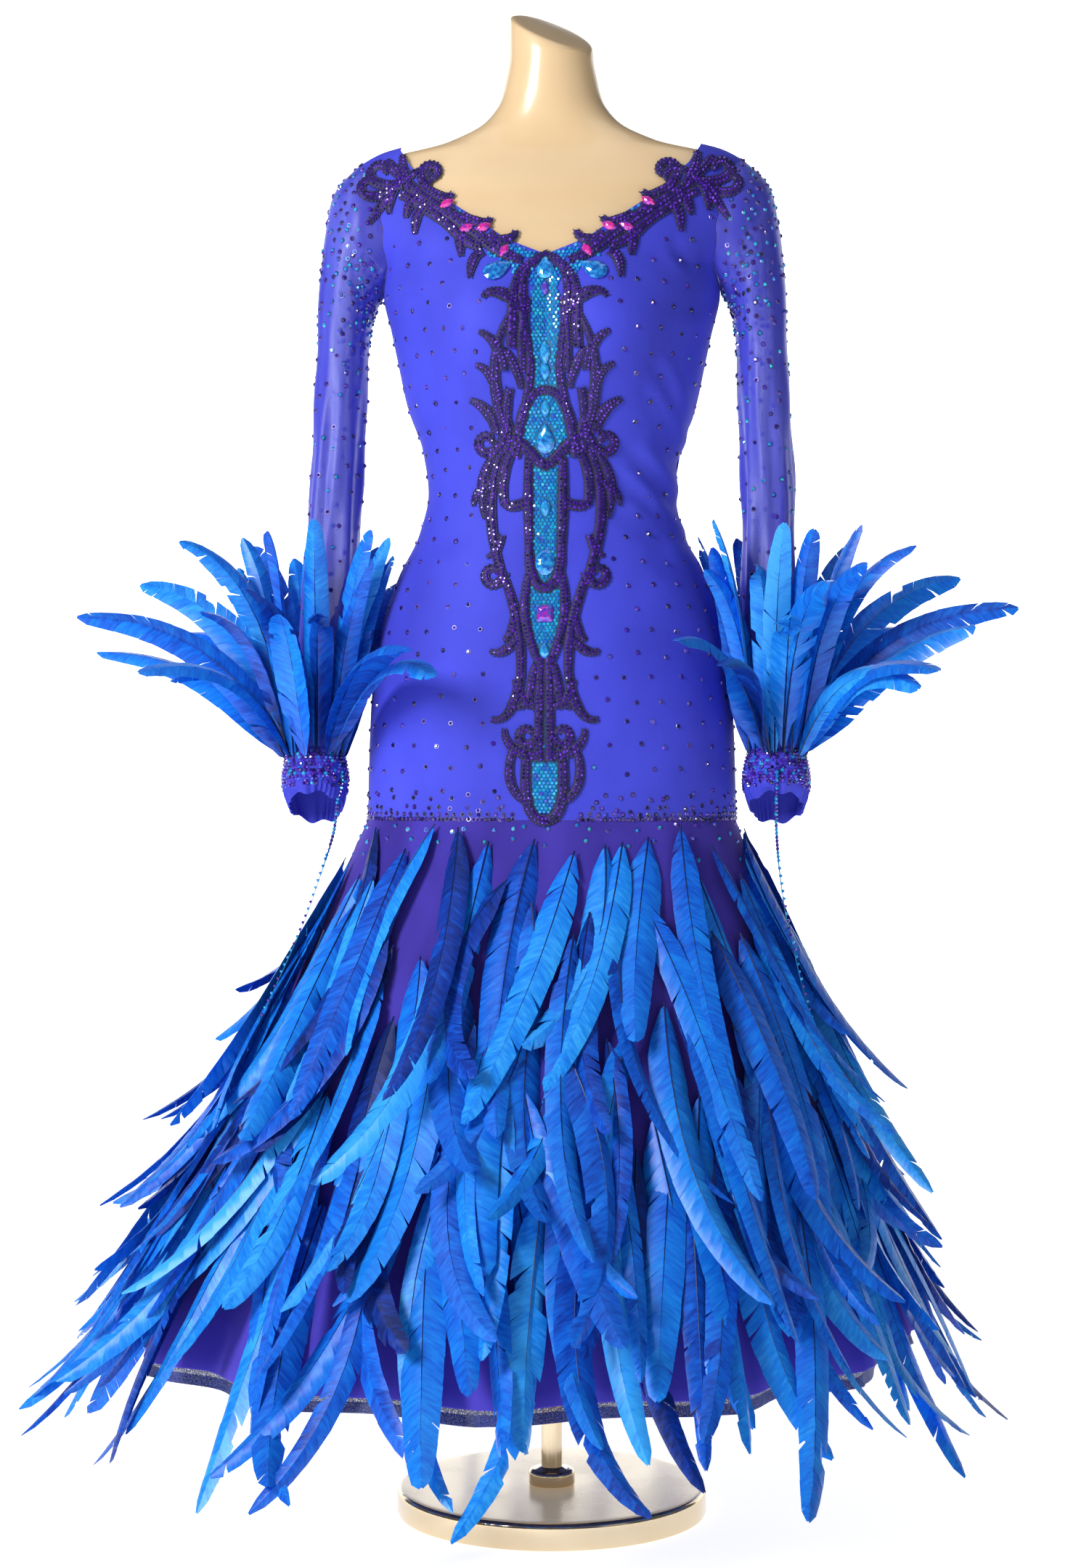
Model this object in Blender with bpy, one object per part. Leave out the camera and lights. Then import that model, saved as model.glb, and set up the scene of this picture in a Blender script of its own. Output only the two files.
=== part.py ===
"""A feathered ballroom gown on a limbless dress form that stands on a pole and a round base.

Metres, +Z up. The gown faces -Y, the wearer's left is +X, and the origin is the centre of
the underside of the base.
"""
import math
import random

import bmesh
import bpy
from mathutils import Vector
from mathutils.bvhtree import BVHTree

# Walls and seams
CLOTH = 0.0015            # wall of the jersey, the georgette and the net
SLEEVE_CLOTH = 0.0012     # wall of the sheer sleeves
EASE = 0.0016             # from the dress form to the inside of the bodice
SHOULDER_EASE = 0.0032    # added to the ease where the strap lies over the shoulder
SEAM_GAP = 0.0004         # between two pieces that meet at a seam
GROUND_GAP = 0.0012       # from the jersey to the underside of the motif's ground
SCROLL_GAP = 0.0038       # from the jersey to the scrolls that lie over the ground
NECK_SCROLL_GAP = 0.0026  # from the jersey to the scrolls along the neckline
LAYER_STEP = 0.00008      # crossing scrolls lie this far under each other

# Dress form, pole and base
BASE_RADIUS = 0.1615
BASE_HEIGHT = 0.028
BASE_EDGE = 0.006
POLE_RADIUS = 0.011
COLLAR_RADIUS = 0.024
COLLAR_HEIGHT = 0.016
NECK_CUT_HEIGHT = 1.550   # the slanted cut's height on the neck's axis
NECK_CUT_SIDE_SLOPE = -0.40
NECK_CUT_BACK_SLOPE = 0.47

# Heights of the gown's own lines
HIP_SEAM = 0.7245
UNDERARM = 1.272
SHOULDER_RIDGE = 1.410
STRAP_APEX = 1.421
HEM = 0.195

# Hem circle and its flutes
HEM_CENTRE_X = -0.033
HEM_HALF_WIDTH = 0.395
HEM_HALF_DEPTH = 0.388
FLUTE_DEPTH = 0.014
FLUTE_GROWTH = 1.3

BODY_ROUNDNESS = 2.2      # exponent of the torso's cross-sections; a true ellipse has 2
NECK_ROUNDNESS = 2.0
PANEL_COLUMNS = 7         # columns of points from a panel's middle to its side
RING_POINTS = 4 * PANEL_COLUMNS

# Dress form's cross-sections: height, half width, depth to the front, depth to the back
BODY = (
    (0.655, 0.165, 0.098, 0.112),
    (0.700, 0.180, 0.110, 0.127),
    (0.7245, 0.1895, 0.118, 0.137),
    (0.800, 0.188, 0.121, 0.136),
    (0.860, 0.185, 0.120, 0.130),
    (0.920, 0.176, 0.116, 0.118),
    (0.975, 0.158, 0.110, 0.103),
    (1.020, 0.136, 0.103, 0.090),
    (1.065, 0.126, 0.099, 0.084),
    (1.110, 0.132, 0.101, 0.088),
    (1.156, 0.148, 0.104, 0.096),
    (1.202, 0.158, 0.105, 0.102),
    (1.235, 0.165, 0.105, 0.104),
    (1.270, 0.173, 0.104, 0.104),
    (1.295, 0.1740, 0.100, 0.102),
    (1.320, 0.194, 0.094, 0.100),
    (1.350, 0.214, 0.082, 0.096),
    (1.380, 0.215, 0.070, 0.088),
    (1.400, 0.203, 0.060, 0.078),
    (1.415, 0.180, 0.053, 0.070),
    (1.430, 0.118, 0.049, 0.062),
    (1.452, 0.072, 0.047, 0.056),
    (1.475, 0.0545, 0.047, 0.052),
    (1.498, 0.0485, 0.046, 0.049),
    (1.521, 0.0445, 0.045, 0.047),
    (1.600, 0.0425, 0.044, 0.045),
)
# The bust: one soft mound on each side of the front
BUST_X = 0.072
BUST_Z = 1.225
BUST_HEIGHT = 0.024
BUST_SPREAD_X = 0.044
BUST_SPREAD_Z = 0.044

# Heights of the rows of points that the form and the bodice share
SHARED_ROWS = (
    0.7245, 0.800, 0.880, 0.955, 1.015, 1.072, 1.132, 1.185, 1.230, 1.272, 1.296,
    1.315, 1.345, 1.375, 1.398, 1.410, 1.4165,
)
FORM_LOW_ROWS = (0.655, 0.690)
FORM_HIGH_ROWS = (1.421, 1.430, 1.442, 1.458, 1.482, 1.520)

# Neckline: height, distance from the middle
FRONT_NECKLINE = (
    (1.296, 0.0), (1.312, 0.040), (1.335, 0.070), (1.360, 0.105), (1.382, 0.128),
    (1.398, 0.143), (1.410, 0.150), (1.4165, 0.154), (1.421, 0.1555),
)
BACK_NECKLINE = (
    (1.230, 0.0), (1.272, 0.038), (1.296, 0.062), (1.335, 0.096), (1.360, 0.115),
    (1.382, 0.130), (1.398, 0.142), (1.410, 0.149), (1.4165, 0.153), (1.421, 0.1555),
)
# Armhole: height, distance from the middle
ARMHOLE = (
    (1.290, 0.1685), (1.312, 0.1685), (1.335, 0.1690), (1.360, 0.1715), (1.382, 0.1765),
    (1.398, 0.1840), (1.410, 0.1880),
)

# Sleeve rings, from the armhole down to the elbow and the forearm:
# outer x, outer z, inner x, inner z, half depth, y of the middle
SLEEVE_RINGS = (
    (0.2035, 1.4075, 0.1845, 1.2625, 0.0600, 0.000),
    (0.2250, 1.3850, 0.1890, 1.2500, 0.0555, 0.000),
    (0.2375, 1.3420, 0.1915, 1.2300, 0.0500, -0.002),
    (0.2435, 1.2850, 0.1935, 1.2050, 0.0455, -0.004),
    (0.2470, 1.2000, 0.1955, 1.1550, 0.0415, -0.007),
    (0.2545, 1.0500, 0.2000, 1.0500, 0.0370, -0.014),
    (0.2585, 0.9600, 0.2035, 0.9600, 0.0350, -0.020),
    (0.2635, 0.8800, 0.2090, 0.8800, 0.0325, -0.026),
)
SLEEVE_END = 0.800
WRIST_Y = -0.030
WRIST_HALF_WIDTH = 0.0270
WRIST_HALF_DEPTH = 0.0300
WRIST_X = {"left": 0.234, "right": 0.245}
# Cuff rings: height, half width, half depth, rise of the front edge over the middle
CUFF_RINGS = (
    (0.7996, 0.0270, 0.0300, 0.000),
    (0.7840, 0.0320, 0.0340, 0.001),
    (0.7660, 0.0345, 0.0360, 0.004),
    (0.7500, 0.0330, 0.0345, 0.010),
    (0.7370, 0.0285, 0.0305, 0.016),
)

# Skirt and net: shares of the way from the hip seam to the hem at which rings lie
SKIRT_ROWS = (0.0, 0.14, 0.42, 0.72, 1.0)
NET_ROWS = (0.04, 1.03)
NET_GAP_TOP = 0.0012
NET_GAP_LOW = 0.006
# Flutes of the skirt, each a crest and a trough: share of the round, share of the depth
FLUTES = (
    (1.10, 0.9), (0.85, 1.1), (1.05, 0.8), (0.95, 1.2), (1.20, 0.9), (0.80, 1.0),
    (1.05, 1.1), (0.90, 0.8), (1.15, 1.0), (1.00, 1.2), (0.85, 0.9), (1.10, 1.1),
)
FLUTE_POINTS = 6

# Feather tiers of the skirt: height of the strip, feathers, length, width, distance from the
# cone over the skirt's crests to the strip, seed
FEATHER_TIERS = (
    (0.702, 22, 0.265, 0.038, 0.0007, 11),
    (0.612, 23, 0.270, 0.041, 0.0007, 12),
    (0.520, 24, 0.270, 0.044, -0.0003, 13),
    (0.428, 25, 0.265, 0.047, -0.0008, 14),
    (0.336, 26, 0.255, 0.048, -0.0013, 15),
)
STRIP_SIDES = 20
STRIP_HEIGHT = 0.006
STRIP_THICKNESS = 0.0026
STRIP_WAVE = 0.010        # a strip's rise and fall round the skirt
FEATHER_LIFT = 0.0033     # how far a feather's underside stands off at its root
TIER_LIFT = 0.075         # how much further it stands off for each metre of its length
# A feather's sections: share of the length, share of the half width, share of the rib
FEATHER_SECTIONS = (
    (0.00, 0.06, 0.35), (0.34, 1.00, 1.0), (0.76, 0.78, 0.7),
)
FEATHER_RIB = 0.0022
SKIRT_CURL = 0.045        # how far a tip may curl out
CURL_START = 0.62         # share of a feather's length at which its curl starts

# Feathers of a cuff: azimuth in degrees (0 away from the body, 90 forward), height and
# reach of the bend, height and reach of the tip, width
CUFF_FEATHERS = (
    (8, 0.150, 0.060, 0.150, 0.215, 0.030),
    (-28, 0.170, 0.050, 0.190, 0.190, 0.028),
    (42, 0.120, 0.060, 0.085, 0.185, 0.028),
    (-62, 0.150, 0.050, 0.120, 0.165, 0.028),
    (76, 0.165, 0.040, 0.165, 0.130, 0.027),
    (-98, 0.165, 0.040, 0.175, 0.130, 0.027),
    (118, 0.130, 0.075, 0.105, 0.205, 0.030),
    (-132, 0.170, 0.034, 0.190, 0.092, 0.027),
    (25, 0.190, 0.020, 0.215, 0.115, 0.024),
    (-10, 0.170, 0.012, 0.235, 0.055, 0.024),
    (60, 0.175, 0.012, 0.225, 0.060, 0.024),
    (-45, 0.180, 0.016, 0.225, 0.080, 0.024),
    (97, 0.180, 0.012, 0.235, 0.048, 0.024),
    (-80, 0.180, 0.020, 0.240, 0.070, 0.024),
    (140, 0.180, 0.014, 0.235, 0.058, 0.022),
    (-115, 0.180, 0.020, 0.230, 0.072, 0.022),
    (162, 0.160, 0.014, 0.225, 0.050, 0.020),
    (-158, 0.160, 0.014, 0.215, 0.055, 0.020),
)
CUFF_STRIP_TOP = 0.7985
CUFF_STRIP_HEIGHT = 0.005
CUFF_STRIP_GAP = 0.0006

# Beaded scrolls of the centre motif, one half, mirrored to the other, in millimetres: start
# x, z and heading in degrees (0 outward, 90 up), end x, z and heading, turn of the coil at
# the end in degrees, and the widths at the start, the middle and the end
CENTRE_SCROLLS = (
    (-1.5, 1297, -15, 15, 1186, -96, 0, (5, 8, 6)),
    (6, 1289, -10, 34, 1200, -84, 0, (6, 8.5, 8)),
    (30, 1246, 70, 48, 1244, -75, 0, (7, 9, 4)),
    (34, 1206, -86, 31, 1100, -98, 0, (8, 8, 8)),
    (37, 1206, 40, 57, 1212, 0, 0, (7, 8, 3.5)),
    (37, 1166, 45, 59, 1172, -15, 0, (7, 8, 3.5)),
    (15, 1190, -92, 27, 1112, -80, 0, (7, 7, 6)),
    (-2, 1158.5, 4, 31, 1092, -78, 0, (6, 9, 9)),
    (34, 1096, -160, -2, 1067.4, -160, 0, (9, 10, 8)),
    (35, 1150, -80, 62, 1078, 0, 300, (7, 9, 6)),
    (46, 1088, 110, 46, 1142, 50, 0, (6, 9, 4)),
    (30, 1088, -50, 42, 1044, -100, 0, (7, 9, 7)),
    (42, 1047, -100, 17, 1052, 95, 0, (7, 9, 6)),
    (46, 1080, -80, 40, 962, -110, 0, (7, 8, 7)),
    (17, 1076, -88, 16, 996, -92, 0, (7, 9, 7)),
    (54, 1079, -60, 62, 1020, -95, 0, (7, 9, 3.5)),
    (16, 1000, -88, -2.3, 958.2, 176, 0, (7, 9, 9)),
    (40, 966, -110, 24, 868, -88, 0, (7, 9, 7)),
    (40, 974, -60, 54, 962, 10, 270, (7, 8, 5)),
    (29, 906, -60, 55, 896, 55, 0, (7, 8, 3.5)),
    (16, 972, -75, 6, 884, -115, 0, (7, 8, 7)),
    (24, 872, -85, 54, 826, 20, 0, (7, 9, 4)),
    (4.5, 890, -90, 5, 784, -92, 0, (7, 7.5, 7.5)),
    (8, 880, -60, 27, 838, 0, 0, (7, 8, 4)),
    (6, 812, -70, 20, 800, 20, 250, (7, 8, 5)),
    (6, 790, -15, 40, 816, 100, 0, (8, 9, 4)),
    (18, 792, -88, -2.3, 724.2, 176, 0, (8, 9, 9)),
    (31, 796, -65, 18, 744, -165, 0, (6, 8, 6)),
)
# Stone-covered ground between the scrolls: height, half width
CENTRE_GROUND = (
    (1.286, 0.006), (1.272, 0.010), (1.258, 0.0125), (1.230, 0.0135), (1.208, 0.014),
    (1.185, 0.0145), (1.160, 0.016), (1.132, 0.023), (1.110, 0.027), (1.092, 0.028),
    (1.072, 0.016), (1.045, 0.0145), (1.015, 0.014), (0.985, 0.0145), (0.955, 0.017),
    (0.915, 0.013), (0.880, 0.006), (0.800, 0.006), (0.785, 0.014), (0.765, 0.016),
    (0.742, 0.013), (0.7335, 0.006),
)
# Large stones of the centre line: height, half width, half height, sides
CENTRE_STONES = (
    (1.266, 0.009, 0.011, 6), (1.188, 0.009, 0.014, 6), (1.138, 0.006, 0.009, 6),
    (1.100, 0.009, 0.015, 6), (1.040, 0.006, 0.010, 6), (0.984, 0.011, 0.014, 6),
    (0.932, 0.009, 0.009, 4),
)
SCROLL_RISE = 0.0032
SCROLL_STEP = 0.034       # longest stretch between a scroll's sections
SCROLL_BEND = 66          # most degrees between a scroll's sections
COIL_RADIUS = 0.0105      # where a coil starts, shrinking to COIL_SHRINK of it
COIL_SHRINK = 0.38
GROUND_RISE = 0.0010
STONE_RISE = 0.0034
STONE_SINK = 0.0003       # a stone's underside lies this far over the motif's underside

# Scrolls along the neckline on the wearer's left, in the same columns, mirrored to the right
NECK_SCROLLS = (
    (24, 1290, 15, 66, 1316, 45, 0, (6, 10, 10)),
    (64, 1314, 45, 118, 1356, 36, 0, (9, 11, 10)),
    (114, 1353, 36, 152, 1388, 55, 0, (9, 10, 9)),
    (50, 1306, 30, 60, 1330, 110, 0, (7, 8, 4)),
    (82, 1328, -50, 86, 1296, -95, 0, (8, 10, 4)),
    (92, 1338, 30, 102, 1362, 110, 0, (7, 8, 4)),
    (132, 1368, -40, 146, 1342, -80, 0, (7, 10, 4)),
    (148, 1384, -35, 192, 1372, 45, 200, (8, 9, 6)),
    (152, 1384, -45, 184, 1340, -55, 0, (8, 9, 4)),
    (150, 1386, 40, 168, 1408, 60, 0, (8, 9, 5)),
    (146, 1384, 110, 132, 1392, 160, 230, (7, 7, 4)),
)
# Large stones of the neckline: x, height, half length, half width, tilt in degrees
NECK_STONES = (
    (0.0440, 1.2880, 0.0120, 0.0070, 38), (0.0790, 1.3360, 0.0060, 0.0036, 30),
)
# Stone strings that hang from the cuffs, in millimetres: x, y, height, and the direction that
# the stones face in degrees (0 forward, 90 to the wearer's left)
WRIST_STRINGS = {
    "left": (
        (234.0, -66.4, 777, 0), (234.0, -67.0, 770, 0), (233.8, -65.6, 760, 0),
        (233.5, -61.8, 752, 0), (233.0, -60.0, 738, 0), (233.5, -57.0, 716, 10),
        (235.0, -53.0, 690, 25), (238.0, -50.0, 662, 45), (243.0, -56.0, 628, 60),
        (249.5, -70.0, 598, 68), (256.0, -82.5, 568, 70), (264.0, -92.0, 538, 70),
    ),
    "right": (
        (-215.9, -47.9, 777, 51), (-214.9, -48.4, 768, 51), (-216.0, -47.7, 755, 51),
        (-219.8, -45.8, 745, 45), (-221.0, -45.6, 730, 30), (-223.5, -47.0, 712, 10),
        (-229.5, -49.5, 690, -20), (-236.5, -54.0, 666, -50), (-244.0, -63.0, 640, -68),
        (-254.5, -77.5, 608, -70), (-267.5, -88.5, 576, -72), (-281.0, -97.0, 544, -72),
    ),
}
STRING_TIPS = {"left": (272.0, -99.5, 508), "right": (-295.0, -103.5, 512)}
STRING_WIDTH = 0.0045
STRING_RISE = 0.0016


def clear_scene():
    """Remove what the scene holds, so that the model stands alone."""
    for item in list(bpy.data.objects):
        bpy.data.objects.remove(item, do_unlink=True)


def finish(name, colour, roughness, metallic=0.0):
    """A plain material with a colour, a roughness and a metallic value."""
    material = bpy.data.materials.new(name)
    material.use_nodes = True
    shader = material.node_tree.nodes["Principled BSDF"]
    shader.inputs["Base Color"].default_value = (*colour, 1.0)
    shader.inputs["Roughness"].default_value = roughness
    shader.inputs["Metallic"].default_value = metallic
    return material


def mesh_object(name, points, faces, material, smooth_angle=None):
    """One object from points and faces, with its faces pointing out."""
    mesh = bpy.data.meshes.new(name)
    mesh.from_pydata([tuple(p) for p in points], [], faces)
    shape = bmesh.new()
    shape.from_mesh(mesh)
    bmesh.ops.recalc_face_normals(shape, faces=shape.faces)
    bmesh.ops.triangulate(shape, faces=shape.faces)
    shape.to_mesh(mesh)
    shape.free()
    mesh.materials.append(material)
    if smooth_angle is not None:
        mesh.shade_smooth()
        mesh.set_sharp_from_angle(angle=math.radians(smooth_angle))
    item = bpy.data.objects.new(name, mesh)
    bpy.context.scene.collection.objects.link(item)
    return item


def short_split(points, face):
    """A triangle as it is, or a quad cut along its shorter diagonal."""
    if len(face) == 3:
        return [face]
    a, b, c, d = face
    if (points[a] - points[c]).length < (points[b] - points[d]).length:
        return [(a, b, c), (a, c, d)]
    return [(b, c, d), (b, d, a)]


def wall_object(name, outer, inner, faces, material, smooth_angle=40):
    """A closed wall between two copies of one sheet, joined along the sheet's free edges."""
    count = len(outer)
    triangles = []
    for face in faces:
        triangles += short_split(outer, face)
    edges = set()
    for a, b, c in triangles:
        edges.update(((a, b), (b, c), (c, a)))
    walls = list(triangles)
    walls += [(c + count, b + count, a + count) for a, b, c in triangles]
    walls += [(b, a, a + count, b + count) for a, b in edges if (b, a) not in edges]
    return mesh_object(name, list(outer) + list(inner), walls, material, smooth_angle)


def curve_value(table, column, at):
    """A column of a table at a height, on a smooth curve that doesn't overshoot its rows."""
    heights = [row[0] for row in table]
    values = [row[column] for row in table]
    last = len(table) - 1
    at = min(max(at, heights[0]), heights[last])
    i = max(k for k in range(last) if heights[k] <= at)
    steps = [(values[k + 1] - values[k]) / (heights[k + 1] - heights[k]) for k in range(last)]

    def slope(k):
        """Slope of the curve at row k, flat where the values turn."""
        if k in (0, last):
            return steps[0] if k == 0 else steps[last - 1]
        before = steps[k - 1]
        after = steps[k]
        return 0.0 if before * after <= 0 else 2 * before * after / (before + after)

    span = heights[i + 1] - heights[i]
    t = (at - heights[i]) / span
    return (
        values[i] * (1 + 2 * t) * (1 - t) ** 2
        + values[i + 1] * t * t * (3 - 2 * t)
        + span * slope(i) * t * (1 - t) ** 2
        - span * slope(i + 1) * t * t * (1 - t)
    )


def line_value(table, at):
    """The second column of a two-column table at a value of its first, by straight lines."""
    rows = sorted(table)
    if at <= rows[0][0]:
        return rows[0][1]
    for low, high in zip(rows, rows[1:]):
        if at <= high[0]:
            return low[1] + (high[1] - low[1]) * (at - low[0]) / (high[0] - low[0])
    return rows[-1][1]


def blend(at, start, end):
    """0 before the start, 1 after the end, with a smooth change between them."""
    t = min(max((at - start) / (end - start), 0.0), 1.0)
    return t * t * (3 - 2 * t)


def roundness(height):
    """Exponent of the form's cross-section at a height."""
    return BODY_ROUNDNESS + (NECK_ROUNDNESS - BODY_ROUNDNESS) * blend(height, 1.43, 1.48)


def bust(x, z):
    """How far the bust stands forward at a place on the front."""
    across = (abs(x) - BUST_X) / BUST_SPREAD_X
    up = (z - BUST_Z) / BUST_SPREAD_Z
    return BUST_HEIGHT * math.exp(-0.5 * (across * across + up * up))


def body_surface(height, angle, facing):
    """Point and outward normal of the dress form.

    The angle runs from 0 at the middle of the front or back to 90 degrees at the side.
    facing is -1 for the front and 1 for the back. x is never negative.
    """
    n = roundness(height)
    depth_column = 2 if facing < 0 else 3
    width = curve_value(BODY, 1, height)
    depth = curve_value(BODY, depth_column, height)
    step = 0.0005
    width_rate = (curve_value(BODY, 1, height + step) - curve_value(BODY, 1, height - step)) / (2 * step)
    depth_high = curve_value(BODY, depth_column, height + step)
    depth_low = curve_value(BODY, depth_column, height - step)
    depth_rate = (depth_high - depth_low) / (2 * step)
    across = math.sin(angle) ** (2 / n) if angle > 0 else 0.0
    out = max(math.cos(angle), 0.0) ** (2 / n)
    x = width * across
    y = depth * out
    grow_x = across ** (n - 1) / width
    grow_y = out ** (n - 1) / depth
    grow_z = -across ** n * width_rate / width - out ** n * depth_rate / depth
    if facing < 0:
        mound = bust(x, height)
        y += mound * min(out / 0.3, 1.0)
        grow_x += grow_y * mound * (x - BUST_X) / BUST_SPREAD_X ** 2
        grow_z += grow_y * mound * (height - BUST_Z) / BUST_SPREAD_Z ** 2
    normal = Vector((grow_x, facing * grow_y, grow_z)).normalized()
    return Vector((x, facing * y, height)), normal


def angle_at(height, x):
    """Angle on the form's section at which it reaches a distance from the middle."""
    share = min(x / curve_value(BODY, 1, height), 1.0)
    return math.asin(share ** (roundness(height) / 2))


def ease_at(height):
    """Room between the form and the bodice, more over the shoulder."""
    return EASE + SHOULDER_EASE * blend(height, 1.385, 1.408)


def mirrored(point, side):
    """The point on the wearer's left (1) or right (-1)."""
    return Vector((point.x * side, point.y, point.z))


def side_panel(side, facing, neckline):
    """Outer and inner points of one half panel, row by row, from its inner edge outward."""
    outer_rows = []
    inner_rows = []
    for height in SHARED_ROWS + (STRAP_APEX,):
        edge_x = line_value(neckline, height)
        first = angle_at(height, edge_x) if height > neckline[0][0] else 0.0
        last = math.pi / 2
        if UNDERARM < height < SHOULDER_RIDGE:
            last = angle_at(height, line_value(ARMHOLE, height))
        outer = []
        inner = []
        for k in range(PANEL_COLUMNS + 1):
            angle = first + (last - first) * k / PANEL_COLUMNS
            if height == STRAP_APEX:
                angle = math.pi / 2
            point, normal = body_surface(height, angle, facing)
            if angle == math.pi / 2:
                point.y = facing * SEAM_GAP / 2
                normal.y = 0.0
            if height == HIP_SEAM:
                normal.z = 0.0
                normal.normalize()
            if first == 0.0 and k == 0:
                normal.x = 0.0
                point.x = SEAM_GAP / 2 if facing > 0 else 0.0
            outer.append(mirrored(point + normal * (ease_at(height) + CLOTH), side))
            inner.append(mirrored(point + normal * ease_at(height), side))
        outer_rows.append(outer)
        inner_rows.append(inner)
    outer_rows[-1] = outer_rows[-1][:1]
    inner_rows[-1] = inner_rows[-1][:1]
    return outer_rows, inner_rows


def panel_sheet(halves, shared_rows):
    """Join half panels into one sheet. The halves share their middle points in some rows."""
    outer = []
    inner = []
    faces = []
    middle = {}
    for side, outer_rows, inner_rows in halves:
        numbers = []
        for r, row in enumerate(outer_rows):
            line = []
            for k, point in enumerate(row):
                if k == 0 and r in shared_rows and r in middle:
                    line.append(middle[r])
                    continue
                if k == 0:
                    middle[r] = len(outer)
                line.append(len(outer))
                outer.append(point)
                inner.append(inner_rows[r][k])
            numbers.append(line)
        for low, high in zip(numbers, numbers[1:]):
            for k in range(PANEL_COLUMNS):
                if len(high) == 1:
                    face = (low[k], low[k + 1], high[0])
                else:
                    face = (low[k], low[k + 1], high[k + 1], high[k])
                faces.append(face if side > 0 else face[::-1])
    return outer, inner, faces


def make_bodice(jersey):
    """Front in one piece, back in two with a centre seam; returns the panels' rows."""
    rows = {}
    for side_name, side in (("left", 1), ("right", -1)):
        rows["front", side_name] = side_panel(side, -1, FRONT_NECKLINE)
        rows["back", side_name] = side_panel(side, 1, BACK_NECKLINE)
    below_neck = {r for r, height in enumerate(SHARED_ROWS) if height <= FRONT_NECKLINE[0][0]}
    halves = [(1, *rows["front", "left"]), (-1, *rows["front", "right"])]
    wall_object("bodice_front", *panel_sheet(halves, below_neck), jersey)
    for side_name, side in (("left", 1), ("right", -1)):
        sheet = panel_sheet([(-side, *rows["back", side_name])], set())
        wall_object(f"bodice_back_{side_name}", *sheet, jersey)
    return rows


def make_form(lacquer, metal):
    """Torso with shoulder caps and a neck that is cut on a slant, and its pole and base."""
    rings = []
    for height in FORM_LOW_ROWS + SHARED_ROWS + FORM_HIGH_ROWS + (None,):
        ring = []
        for k in range(RING_POINTS):
            turn = k % (2 * PANEL_COLUMNS)
            angle = min(turn, 2 * PANEL_COLUMNS - turn) * math.pi / 2 / PANEL_COLUMNS
            facing = -1 if PANEL_COLUMNS * 3 <= k or k < PANEL_COLUMNS else 1
            if k in (PANEL_COLUMNS, 3 * PANEL_COLUMNS):
                facing = 1
            side = 1 if k <= 2 * PANEL_COLUMNS else -1
            point = mirrored(body_surface(height or NECK_CUT_HEIGHT, angle, facing)[0], side)
            if height is None:
                point.z += NECK_CUT_SIDE_SLOPE * point.x + NECK_CUT_BACK_SLOPE * point.y
            ring.append(point)
        rings.append(ring)
    points = [point for ring in rings for point in ring]
    faces = []
    for r in range(len(rings) - 1):
        for k in range(RING_POINTS):
            low = r * RING_POINTS
            after = (k + 1) % RING_POINTS
            quad = (low + k, low + after, low + RING_POINTS + after, low + RING_POINTS + k)
            faces += short_split(points, quad)
    top = len(points) - RING_POINTS
    faces.append(tuple(range(RING_POINTS))[::-1])
    faces.append(tuple(range(top, top + RING_POINTS)))
    mesh_object("form_torso", points, faces, lacquer, 50)

    flat = BASE_HEIGHT - BASE_EDGE
    turned("form_base", 32, metal, (
        (BASE_RADIUS - 0.004, 0.0), (BASE_RADIUS, 0.005), (BASE_RADIUS, flat),
        (BASE_RADIUS - 0.002, BASE_HEIGHT - 0.002), (BASE_RADIUS - BASE_EDGE, BASE_HEIGHT),
    ))
    foot = BASE_HEIGHT + SEAM_GAP
    turned("form_pole", 16, metal, (
        (POLE_RADIUS, foot), (POLE_RADIUS, FORM_LOW_ROWS[0] - SEAM_GAP),
    ))
    collar_top = foot + COLLAR_HEIGHT
    bore = POLE_RADIUS + SEAM_GAP
    tube("form_collar", 16, metal, (
        (bore, foot), (COLLAR_RADIUS, foot), (COLLAR_RADIUS, collar_top - 0.004),
        (COLLAR_RADIUS - 0.004, collar_top), (bore, collar_top),
    ))


def turned(name, sides, material, profile):
    """A solid turned about the Z axis, from its bottom radius to its top radius."""
    points = []
    for radius, height in profile:
        for k in range(sides):
            angle = 2 * math.pi * k / sides
            points.append((radius * math.cos(angle), radius * math.sin(angle), height))
    faces = ring_faces(len(profile), sides)
    top = len(points) - sides
    faces.append(tuple(range(sides))[::-1])
    faces.append(tuple(range(top, top + sides)))
    return mesh_object(name, points, faces, material, 30)


def tube(name, sides, material, profile):
    """A closed profile turned about the Z axis, with a hole along the axis."""
    points = []
    for radius, height in profile:
        for k in range(sides):
            angle = 2 * math.pi * k / sides
            points.append((radius * math.cos(angle), radius * math.sin(angle), height))
    faces = ring_faces(len(profile), sides)
    last = (len(profile) - 1) * sides
    for k in range(sides):
        after = (k + 1) % sides
        faces.append((last + k, last + after, after, k))
    return mesh_object(name, points, faces, material, 30)


def ring_faces(rings, sides):
    """Quads between closed rings of points that follow each other."""
    faces = []
    for r in range(rings - 1):
        low = r * sides
        for k in range(sides):
            after = (k + 1) % sides
            faces.append((low + k, low + after, low + sides + after, low + sides + k))
    return faces


def armhole_loop(rows, side_name):
    """Outer and inner points of the armhole's edge: ridge, down the front, up the back."""
    first = SHARED_ROWS.index(UNDERARM)
    last = SHARED_ROWS.index(SHOULDER_RIDGE)
    loops = []
    for layer in (0, 1):
        front = [rows["front", side_name][layer][r][-1] for r in range(first, last + 1)]
        back = [rows["back", side_name][layer][r][-1] for r in range(first, last + 1)]
        ridge = (front[-1] + back[-1]) / 2
        underarm = (front[0] + back[0]) / 2
        loops.append([ridge] + front[-2:0:-1] + [underarm] + back[1:-1])
    return loops


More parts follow.
